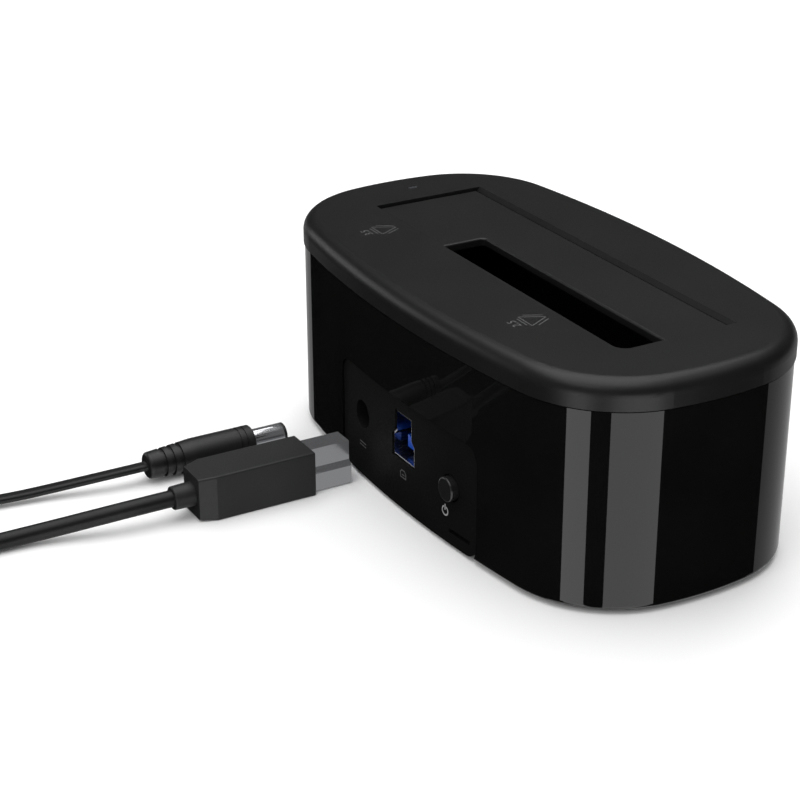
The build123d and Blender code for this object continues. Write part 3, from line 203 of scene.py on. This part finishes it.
# Drive well: black ABS, moulded, screwed up under the cover; it swallows nearly all light.
well_black = moulded("dull_black_well_abs", "#060607", "#0a0a0b", (0.6, 0.75), 0.5, 0.01,
                     Specular_IOR_Level=0.15)
dress(well_black, "drive_well")

# Body shell: high-gloss black ABS, moulded in a polished tool.
# It is near black and mirrors the studio's cards as clean upright bands, with a trace of orange peel.
piano_black = moulded("polished_black_abs", "#0a0a0a", "#0c0c0c", (0.02, 0.035), 9.0, 0.003,
                      Specular_IOR_Level=0.25)
dress(piano_black, "body_shell")

# Socket panel: the same ABS from a dulled tool, slid up behind the shell's wall.
# It is hardly lighter than the gloss round it and shows no bands at all.
panel_black = moulded("matte_black_abs_insert", "#0c0c0c", "#0e0e0e", (0.55, 0.68), 0.4, 0.006,
                      Specular_IOR_Level=0.08)
dress(panel_black, "io_panel")

# Marks on the socket panel: pad-printed grey ink, hardly more than a hundredth of a millimetre thick.
# Plain signs only: a solid line over a broken one, the outline of a square plug, and a power sign.
# The panel's face is part of a cylinder, whose radius and middle are the two panel values below.
ink = moulded("pad_printed_grey_ink", "#4a4a4b", "#565657", (0.5, 0.6), 0.3, 0.001,
              Specular_IOR_Level=0.3)
pale_ink = moulded("pad_printed_pale_ink", "#8c8c8d", "#989899", (0.5, 0.6), 0.3, 0.001,
                   Specular_IOR_Level=0.3)
ink_height = 0.015
panel_radius = 313.3
panel_centre_y = -276.7


def on_panel(x, z):
    """Places a drawing on the rear panel, upright for someone who faces the sockets."""
    def place(u, v):
        along = x - u
        return along, panel_centre_y + math.sqrt(panel_radius ** 2 - along ** 2) + ink_height, z + v
    return place


def printed(name, strokes, width, place, colour=ink):
    """Printed lines: a flat ribbon along each stroke, laid on the surface that place gives."""
    corners, faces = [], []
    for stroke in strokes:
        for (u0, v0), (u1, v1) in zip(stroke, stroke[1:]):
            reach = math.hypot(u1 - u0, v1 - v0)
            du, dv = (u1 - u0) / reach * width / 2, (v1 - v0) / reach * width / 2
            first = len(corners)
            for u, v in ((u0 - du + dv, v0 - dv - du), (u1 + du + dv, v1 + dv - du),
                         (u1 + du - dv, v1 + dv + du), (u0 - du - dv, v0 - dv + du)):
                corners.append(Vector(place(u, v)) * MM)
            faces.append((first, first + 1, first + 2, first + 3))
    mesh = bpy.data.meshes.new(name)
    mesh.from_pydata(corners, [], faces)
    mesh.materials.append(colour)
    piece = bpy.data.objects.new(name, mesh)
    bpy.context.scene.collection.objects.link(piece)
    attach(piece, "dock")


def arc(radius, first, last, steps=20):
    """Points on a circle round the middle of a drawing, between two angles in degrees."""
    angles = [math.radians(first + (last - first) * step / steps) for step in range(steps + 1)]
    return [(radius * math.cos(a), radius * math.sin(a)) for a in angles]


current_sign = [
    [(-1.5, 0.4), (1.5, 0.4)],
    [(-1.5, -0.4), (-0.8, -0.4)],
    [(-0.35, -0.4), (0.35, -0.4)],
    [(0.8, -0.4), (1.5, -0.4)],
]
plug_sign = [
    [(-1.2, -0.9), (1.2, -0.9), (1.2, 0.3), (0.6, 0.9), (-0.6, 0.9), (-1.2, 0.3), (-1.2, -0.9)],
    [(-0.5, -0.2), (0.5, -0.2)],
]
power_sign = [arc(1.05, 120, 420), [(0, 0.35), (0, 1.5)]]
printed("jack_mark", current_sign, 0.25, on_panel(15.9, 9.2))
printed("data_mark", plug_sign, 0.22, on_panel(-4.0, 10.0))
printed("power_mark", power_sign, 0.34, on_panel(-21.6, 8.6), pale_ink)

# Top cover: black ABS from a spark-eroded tool, screwed to the bottom cover through the shell.
# The skin is satin with a fine grain, and its rounded edge catches one soft band of light.
satin_black = moulded("spark_eroded_black_abs", "#131313", "#161616", (0.32, 0.4), 0.35, 0.004,
                      Specular_IOR_Level=0.24)
dress(satin_black, "top_cover")

# Marks on the cover: a triangle that points to the place of each size of drive, with short lines
# beside it, and the drive's plain size in inches; pad-printed, to be read from the front.
cover_height = 53.5


def on_cover(x, y):
    """Places a drawing on the flat of the cover, upright for someone in front of the dock."""
    return lambda u, v: (x + u, y + v, cover_height + ink_height)


arrow = [
    [(-2.8, 2.7), (2.8, 2.7), (0, -2.6), (-2.8, 2.7)],
    [(-1.9, 3.5), (1.9, 3.5)],
    [(-3.1, 1.2), (-1.2, -2.4)],
    [(3.1, 1.2), (1.2, -2.4)],
]
arrow_y = 18.2
number_y = 22.7
letter_size = 2.9
for name, x, size in (("slim_drive_mark", -29.1, "2.5"), ("wide_drive_mark", 36.2, "3.5")):
    printed(name, arrow, 0.2, on_cover(x, arrow_y))
    writing = bpy.data.curves.new(name + "_number", "FONT")
    writing.body = size
    writing.size = letter_size * MM
    writing.align_x = "CENTER"
    writing.materials.append(ink)
    number = bpy.data.objects.new(name + "_number", writing)
    number.location = Vector(on_cover(x, number_y)(0, 0)) * MM
    bpy.context.scene.collection.objects.link(number)
    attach(number, "dock")

# Slot flap: the same satin ABS as the cover, an L-shaped lid on a steel pin with two springs.
# Its rounded edges catch a little light against the black of the slot.
flap_abs = moulded("satin_flap_abs", "#131313", "#161616", (0.32, 0.4), 0.35, 0.004,
                   Specular_IOR_Level=0.26)
dress(flap_abs, "slot_flap")
pin_steel = metal("ground_pin_steel", "#a8a9ab", (0.15, 0.25), 0.1, "X")
dress(pin_steel, "hinge_pin")
spring_steel = metal("drawn_spring_steel", "#8f8f92", (0.2, 0.3), 0.1, "X")
dress(spring_steel, "flap_springs")

# Data plug: a folded tube of steel with bright nickel plate, in a squared grip of moulded PVC.
# The plate mirrors the room in broad, slightly streaked patches; the grip is soft grey-black.
plug_nickel = metal("nickel_plated_plug_steel", "#b4b5b8", (0.12, 0.22), 0.25, "Y")
dress(plug_nickel, "usb_plug_shell", "usb_a_shell")
plug_blue = moulded("blue_plug_nylon", "#0a3f9e", "#0c48b4", (0.3, 0.42), 0.8, 0.004)
dress(plug_blue, "usb_plug_insert", "usb_a_insert")
grip_pvc = moulded("moulded_pvc_grip", "#1b1b1c", "#202021", (0.42, 0.52), 0.4, 0.005,
                   Specular_IOR_Level=0.25)
dress(grip_pvc, "usb_plug_grip", "usb_plug_collar", "usb_a_grip")

# Data cord: copper cores and foil in a round jacket of extruded PVC, 4 mm thick.
# The jacket is near black with a low sheen along the top of the round.
jacket = moulded("extruded_pvc_jacket", "#0c0c0d", "#0f0f10", (0.4, 0.5), 0.4, 0.003,
                 Specular_IOR_Level=0.25)
turn_points = 16
spline_shrink = 0.75 + 0.25 * math.cos(2 * math.pi / turn_points)
shift_share = 1 / 6
layer_turns = (1.0, 1.0, 0.72)
climb_turns = 0.83


def coil_points(centre, start, direction, radii, heights, turns):
    """The turns of a neat coil: in and out across each layer, then up to the next."""
    places = []
    changes = []
    passed = 0.0
    for layer, height in enumerate(heights):
        row = radii if layer % 2 == 0 else radii[::-1]
        places += [(radius, height) for radius in row]
        for column, share in enumerate(layer_turns):
            passed += climb_turns if layer and column == 0 else share
            changes.append(passed)
    points = []
    for step in range(1, round(turns * turn_points) + 1):
        turn = step / turn_points
        radius, height = places[0]
        for number, change in enumerate(changes[:-1]):
            blend = min(max((turn - change + shift_share) / shift_share, 0.0), 1.0)
            blend = blend * blend * (3 - 2 * blend)
            radius += blend * (places[number + 1][0] - places[number][0])
            height += blend * (places[number + 1][1] - places[number][1])
        angle = start + direction * 2 * math.pi * turn
        radius /= spline_shrink
        x, y = centre[0] + radius * math.cos(angle), centre[1] + radius * math.sin(angle)
        points.append((x, y, height))
    return points


def smooth_line(name, points):
    """One smooth NURBS line with points in millimetres as its control points."""
    curve = bpy.data.curves.new(name, "CURVE")
    curve.dimensions = "3D"
    curve.resolution_u = 6
    line = curve.splines.new("NURBS")
    line.points.add(len(points) - 1)
    for point, place in zip(line.points, points):
        point.co = (*(Vector(place) * MM), 1.0)
    line.order_u = 3
    line.use_endpoint_u = True
    return curve


data_route = [
    (19.1, 84.1, 5.6),
    (19.1, 92.5, 5.6),
    (20.8, 101.3, 4.6),
    (23.0, 108.7, 3.3),
    (24.6, 116.2, 2.4),
    (25.1, 125.3, 2.1),
    (25.2, 140.0, 2.4),
    (25.2, 158.0, 2.8),
]
data_tail = [
    (-2.8, 195.6, 6.6),
    (-9.4, 197.0, 4.2),
    (-15.0, 197.0, 4.2),
]
data_coil = coil_points((-0.8, 169.0), 0.0, 1, (26.0, 22.0, 18.0), (2.8, 6.8), 5.25)
data_curve = smooth_line("data_lead", data_route + data_coil + data_tail)
data_curve.bevel_depth = 2.0 * MM
data_curve.bevel_resolution = 8
data_curve.use_fill_caps = True
data_curve.materials.append(jacket)
data_lead = bpy.data.objects.new("data_lead", data_curve)
bpy.context.scene.collection.objects.link(data_lead)
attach(data_lead, "dock")
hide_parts("usb_cord", "usb_cord_coil", "usb_cord_tail")

# Cord relief of the flat plug: soft PVC moulded over the jacket, with rings cut almost through.
# The rings let it bend evenly, and each one shows a fine line of shade.
relief_collar = 1.2
relief_ends = 1.6
relief_chamfer = 0.3
groove_depth = 0.5


def ringed_relief(name, place, large, small, length, rings, node):
    """A soft cone along +X that narrows in steps, with a groove after each ring."""
    profile = [(0.0, 0.0), (0.0, large / 2)]
    pitch = (length - relief_ends) / rings
    for ring in range(rings):
        low = relief_collar + ring * pitch
        radius = (large + (small - large) * low / length) / 2
        for along, sink in ((0.0, 0.0), (0.1, groove_depth), (0.42, groove_depth), (0.52, 0.0)):
            profile.append((low + along * pitch, radius - sink))
    profile += [(length - relief_chamfer, small / 2), (length, small / 2 - relief_chamfer), (length, 0.0)]
    steps = 40
    corners = [Vector((place[0] + along, place[1] + radius * math.cos(2 * math.pi * s / steps),
                       place[2] + radius * math.sin(2 * math.pi * s / steps))) * MM
               for along, radius in profile for s in range(steps)]
    faces = [(row * steps + s, row * steps + (s + 1) % steps, (row + 1) * steps + (s + 1) % steps,
              (row + 1) * steps + s) for row in range(len(profile) - 1) for s in range(steps)]
    mesh = bpy.data.meshes.new(name)
    mesh.from_pydata(corners, [], faces)
    mesh.validate()
    mesh.materials.append(grip_pvc)
    piece = bpy.data.objects.new(name, mesh)
    bpy.context.scene.collection.objects.link(piece)
    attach(piece, "dock")
    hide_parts(node)


ringed_relief("flat_plug_relief", (-23.0, 197.0, 4.2), 7.2, 5.6, 8.0, 5, "usb_a_relief")

# Ties round the coils: a woven nylon strap, 5 mm wide, wound once and pressed onto itself.
# The weave is a fine even rib, drawn coarser than it is so that it shows.
tie_nylon, tie_tree, tie_shader = new_material("woven_nylon_strap", {
    "Sheen Weight": 0.25, "Sheen Roughness": 0.5})
tie_where = add_node(tie_tree, "ShaderNodeTexCoord").outputs["UV"]
ribs, cross = [
    add_node(tie_tree, "ShaderNodeTexWave", {
        "Vector": tie_where, "Scale": scale, "Distortion": 0.4, "Detail": 1.0}, bands_direction=axis)
    for scale, axis in ((1.0, "X"), (1.4, "Y"))]
weave = add_node(tie_tree, "ShaderNodeMath", {
    0: ribs.outputs["Fac"], 1: cross.outputs["Fac"]}, operation="MULTIPLY")
thread = add_node(tie_tree, "ShaderNodeValToRGB", {"Fac": weave.outputs[0]})
thread.color_ramp.elements[0].color = linear("#0f0f10")
thread.color_ramp.elements[1].color = linear("#262628")
nap = add_node(tie_tree, "ShaderNodeMapRange", {
    "Value": weave.outputs[0], "To Min": 0.85, "To Max": 0.7})
raised = add_node(tie_tree, "ShaderNodeBump", {
    "Height": weave.outputs[0], "Strength": 1.0, "Distance": 0.08 * MM})
tie_tree.links.new(thread.outputs["Color"], tie_shader.inputs["Base Color"])
tie_tree.links.new(nap.outputs["Result"], tie_shader.inputs["Roughness"])
tie_tree.links.new(raised.outputs["Normal"], tie_shader.inputs["Normal"])
strap_width = 5.0
strap_thickness = 0.78
strap_bend = 0.9
strap_overlap = 7
strap_floor = 0.81
strap_shift = 0.1
lap_start = 0.6
weave_mm = 1.8
strap_section = [(-1, -0.6), (-0.96, -1), (0.96, -1), (1, -0.6),
                 (1, 0.6), (0.96, 1), (-0.96, 1), (-1, 0.6)]


def tube_faces(rows, width):
    """The faces of a closed tube: rows of points, each the section's width, and an end on each side."""
    faces = [(row * width + s, row * width + (s + 1) % width,
              (row + 1) * width + (s + 1) % width, (row + 1) * width + s)
             for row in range(rows - 1) for s in range(width)]
    return faces + [tuple(range(width)), tuple((rows - 1) * width + s for s in reversed(range(width)))]


def strap(name, centre, mean_radius, coil_width, coil_height, angle, node):
    """A strap once round the coil's section, with its free end laid over the top."""
    half_width = coil_width / 2 + strap_thickness / 2 + 0.1
    half_height = coil_height / 2 + strap_thickness / 2 + 0.02
    loop = []
    for quarter, (side, rise) in enumerate(((1, 1), (-1, 1), (-1, -1), (1, -1))):
        for step in range(7):
            bend = math.radians(quarter * 90 + step * 15)
            loop.append(Vector((side * (half_width - strap_bend) + strap_bend * math.cos(bend),
                                rise * (half_height - strap_bend) + strap_bend * math.sin(bend))))
    start = half_width - strap_bend - lap_start
    lap = [Vector((start, half_height))] + loop[7:] + loop[:7]
    lap += [Vector((start - step, half_height + strap_thickness * min(step + 0.4, 1.0)))
            for step in range(strap_overlap)]
    middle = Matrix.Translation(Vector((*centre, strap_floor + coil_height / 2)))
    turn = middle @ Matrix.Rotation(math.radians(angle), 4, "Z")
    corners, run = [], [0.0]
    for number, spot in enumerate(lap):
        tangent = (lap[min(number + 1, len(lap) - 1)] - lap[max(number - 1, 0)]).normalized()
        outward = Vector((tangent.y, -tangent.x))
        if number:
            run.append(run[-1] + (spot - lap[number - 1]).length)
        for across, through in strap_section:
            x, z = spot + outward * through * strap_thickness / 2
            place = Vector((mean_radius - strap_shift + x, across * strap_width / 2, z))
            corners.append(turn @ place * MM)
    width = len(strap_section)
    mesh = bpy.data.meshes.new(name)
    mesh.from_pydata(corners, [], tube_faces(len(lap), width))
    unwrapped = mesh.uv_layers.new(name="strap_length")
    for polygon in mesh.polygons:
        for corner in polygon.loop_indices:
            row, side = divmod(mesh.loops[corner].vertex_index, width)
            place = (run[row], strap_section[side][0] * strap_width / 2)
            unwrapped.data[corner].uv = [length / weave_mm for length in place]
    mesh.materials.append(tie_nylon)
    piece = bpy.data.objects.new(name, mesh)
    bpy.context.scene.collection.objects.link(piece)
    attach(piece, "dock")
    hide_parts(node)


strap("data_lead_strap", (-0.8, 169.0), 22.0, 12.0, 8.0, -150, "usb_cord_tie")
strap("power_lead_strap", (69.0, 143.0), 19.0, 9.6, 7.2, -30, "dc_cord_tie")

# Power plug: a barrel turned from brass and plated with bright nickel, with a black insulating tip,
# in a round PVC grip with two fine grooves in front and three deep ones where it has to bend.
barrel_nickel = metal("turned_nickel_plated_brass", "#c3c4c7", (0.08, 0.16), 0.25, "Y")
dress(barrel_nickel, "dc_plug_barrel")
tip_nylon = moulded("black_tip_nylon", "#0c0c0d", "#101011", (0.35, 0.45), 0.4, 0.004)
dress(tip_nylon, "dc_plug_tip")
plug_pvc = moulded("ringed_pvc_grip", "#131314", "#171718", (0.38, 0.48), 0.4, 0.004,
                   Specular_IOR_Level=0.3)
dress(plug_pvc, "dc_plug_grip")

# Power cord: two cores side by side in one thin jacket, 3.2 mm wide and half as high.
# The groove between the cores runs along the middle as a dark line with a sheen on each side.
power_route = [
    (40.15, 81.7, 4.1),
    (40.15, 88.0, 4.1),
    (41.55, 95.8, 3.4),
    (43.45, 103.3, 2.4),
    (44.75, 111.9, 1.8),
    (46.4, 124.0, 1.7),
    (46.8, 136.0, 1.8),
]
power_tail = [
    (88.0, 165.4, 6.3),
    (104.0, 166.0, 4.5),
    (111.8, 173.4, 5.1),
    (111.4, 184.6, 9.4),
    (104.2, 192.0, 14.0),
    (94.0, 192.0, 14.0),
]
power_coil = coil_points((69.0, 143.0), math.pi, -1, (22.2, 19.0, 15.8), (1.7, 3.5, 5.3, 7.1), 10.25)
power_curve = smooth_line("power_lead_line", power_route + power_coil + power_tail)
power_line = bpy.data.objects.new("power_lead_line", power_curve)
bpy.context.scene.collection.objects.link(power_line)
line_mesh = bpy.data.meshes.new_from_object(power_line)
power_path = [vertex.co.copy() for vertex in line_mesh.vertices]
bpy.data.objects.remove(power_line)
core_radius = 0.85
core_offset = 0.75
core_steps = 9
twin_section = []
for side, first in ((1, -100), (-1, 80)):
    for x, z in arc(core_radius, first, first + 200, core_steps):
        twin_section.append((side * core_offset + x, z))
twin_corners = []
last = len(power_path) - 1
for number, place in enumerate(power_path):
    tangent = (power_path[min(number + 1, last)] - power_path[max(number - 1, 0)]).normalized()
    across = tangent.cross(Vector((0, 0, 1))).normalized()
    upward = across.cross(tangent)
    twin_corners += [place + (across * u + upward * v) * MM for u, v in twin_section]
twin_mesh = bpy.data.meshes.new("power_lead")
twin_mesh.from_pydata(twin_corners, [], tube_faces(len(power_path), len(twin_section)))
twin_mesh.polygons.foreach_set("use_smooth", [True] * len(twin_mesh.polygons))
twin_mesh.materials.append(jacket)
power_lead = bpy.data.objects.new("power_lead", twin_mesh)
bpy.context.scene.collection.objects.link(power_lead)
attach(power_lead, "dock")
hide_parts("dc_cord", "dc_cord_coil", "dc_cord_tail")

# Wall adapter: two halves of black ABS welded along a groove, with folded brass blades.
# The case is finely spark-eroded, the blades are plated and bright.
adapter_abs = moulded("spark_eroded_adapter_abs", "#141415", "#18181a", (0.45, 0.55), 0.4, 0.01,
                      Specular_IOR_Level=0.35)
dress(adapter_abs, "adapter_case")
blade_nickel = metal("nickel_plated_brass_blades", "#bdbec1", (0.14, 0.24), 0.2, "Z")
dress(blade_nickel, "adapter_blades")
ringed_relief("adapter_cord_relief", (84.0, 192.0, 14.0), 7.0, 5.0, 10.0, 6, "adapter_relief")

# The floor: a plain pale sheet. It lies outside gloss, where the cards below it take its place.
# It ends where it is still lit to white, so that from low down it runs into the white room.
floor_mesh = bpy.data.meshes.new("floor")
floor_mesh.from_pydata([(-1, -1, 0), (1, -1, 0), (1, 1, 0), (-1, 1, 0)], [], [(0, 1, 2, 3)])
floor = bpy.data.objects.new("floor", floor_mesh)
floor.visible_glossy = False
bpy.context.scene.collection.objects.link(floor)
floor_mesh.materials.append(new_material("pale_floor", {
    "Base Color": linear("#f6f6f6"), "Roughness": 0.9, "Specular IOR Level": 0.1})[0])

# The cards: tall sheets round the dock that only gloss sees, given as first and last bearing in
# degrees, lowest and highest edge, distance and brightness. Dark ones keep the black parts black,
# pale ones give the upright bands, and one above the floor's edge lights the rounded edges.


def gloss_card(name, corners, faces, strength, one_sided=False):
    """A glowing sheet that only gloss sees; a one-sided one is clear from behind."""
    mesh = bpy.data.meshes.new(name)
    mesh.from_pydata(corners, [], faces)
    card = bpy.data.objects.new(name, mesh)
    bpy.context.scene.collection.objects.link(card)
    paint = bpy.data.materials.new(name)
    paint.use_nodes = True
    tree = paint.node_tree
    tree.nodes.clear()
    surface = add_node(tree, "ShaderNodeEmission", {"Strength": strength}).outputs["Emission"]
    if one_sided:
        clear = add_node(tree, "ShaderNodeBsdfTransparent")
        behind = add_node(tree, "ShaderNodeNewGeometry").outputs["Backfacing"]
        surface = add_node(tree, "ShaderNodeMixShader", {
            0: behind, 1: surface, 2: clear.outputs["BSDF"]}).outputs["Shader"]
    add_node(tree, "ShaderNodeOutputMaterial", {"Surface": surface})
    mesh.materials.append(paint)
    card.visible_camera = False
    card.visible_diffuse = False
    card.visible_transmission = False
    card.visible_shadow = False


cards = (
    ("dark_card", 0.0, 360.0, -2.6, -0.03, 1.15, 0.004),
    ("left_band_card", 334.0, 369.5, -2.6, -0.03, 1.1, 0.42),
    ("narrow_band_card", 106.0, 128.0, -2.6, -0.03, 1.1, 3.4),
    ("wide_band_card", 145.7, 192.0, -2.6, -0.03, 1.1, 2.9),
    ("right_band_card", 244.0, 318.0, -2.6, -0.03, 1.1, 0.5),
    ("dark_hood", 0.0, 360.0, -0.02, 1.1, 1.15, 0.02),
    ("edge_light_card", 14.0, 48.0, 0.06, 0.42, 1.1, 1.7),
)
for name, first, last, low, high, reach, strength in cards:
    steps = max(2, round((last - first) / 6))
    row = arc(reach, first, last, steps)
    corners = [(x, y, z) for z in (low, high) for x, y in row]
    width = len(row)
    faces = [(i, i + 1, i + 1 + width, i + width) for i in range(width - 1)]
    gloss_card(name, corners, faces, strength)

# The plug cards: two small one-sided sheets between the plugs and the dock, again only for gloss.
# They face the plugs, so the steel looks lit; from behind they are clear, so the dock stays black.
# Each is given by its lowest and highest edge and its brightness.
near_x, far_x, plug_card_y = -70.0, 170.0, 38.0
for name, low, high, strength in (
        ("low_plug_card", -70.0, 5.0, 0.45),
        ("high_plug_card", 5.0, 28.0, 0.16)):
    places = ((near_x, low), (near_x, high), (far_x, high), (far_x, low))
    corners = [Vector((x, plug_card_y, z)) * MM for x, z in places]
    gloss_card(name, corners, [(0, 1, 2, 3)], strength, one_sided=True)

# The room: white to the camera, in gloss and through clear parts, and a softer light on surfaces.
world = bpy.data.worlds.new("white_room")
bpy.context.scene.world = world
world.use_nodes = True
world.node_tree.nodes.clear()
rays = add_node(world.node_tree, "ShaderNodeLightPath")
direct = add_node(world.node_tree, "ShaderNodeMath", {
    0: rays.outputs["Is Camera Ray"], 1: rays.outputs["Is Glossy Ray"]}, operation="ADD", use_clamp=True)
seen = add_node(world.node_tree, "ShaderNodeMath", {
    0: direct.outputs[0], 1: rays.outputs["Is Transmission Ray"]}, operation="ADD", use_clamp=True)
room_light = 0.55
strength = add_node(world.node_tree, "ShaderNodeMapRange", {
    "Value": seen.outputs[0], "To Min": room_light, "To Max": 1.0})
sky = add_node(world.node_tree, "ShaderNodeBackground", {
    "Color": linear("#ffffff"), "Strength": strength.outputs["Result"]})
add_node(world.node_tree, "ShaderNodeOutputWorld", {"Surface": sky.outputs["Background"]})

# The lamps: three square softboxes, with name, place, side and power.
lamps = (
    ("overhead_softbox", (0.1, 0.1, 1.3), 1.4, 14.0),
    ("front_softbox", (0.9, -0.9, 0.9), 1.0, 7.0),
    ("rear_softbox", (-0.5, 1.1, 0.8), 0.9, 5.0),
)
for name, place, size, power in lamps:
    lamp = bpy.data.lights.new(name, "AREA")
    lamp.shape = "SQUARE"
    lamp.size = size
    lamp.energy = power
    holder = bpy.data.objects.new(name, lamp)
    holder.location = place
    holder.rotation_euler = (Vector((0, 0, 0)) - Vector(place)).to_track_quat("-Z", "Y").to_euler()
    bpy.context.scene.collection.objects.link(holder)

# The camera stands behind the dock's near end and looks down on it, as the photograph does.
# Its place, direction and lens come from the known widths of the drive opening and the socket.
camera = bpy.data.objects.new("camera", bpy.data.cameras.new("camera"))
camera.data.lens = 88.25
camera.data.sensor_width = 36.0
camera.location = Vector((-351.83, 232.77, 212.72)) * MM
look = Vector((0.7918, -0.4449, -0.4186))
roll = Matrix.Rotation(math.radians(-0.19), 3, "Z")
camera.rotation_euler = (look.to_track_quat("-Z", "Y").to_matrix() @ roll).to_euler()
bpy.context.scene.collection.objects.link(camera)
bpy.context.scene.camera = camera
bpy.context.scene.view_settings.view_transform = "Standard"
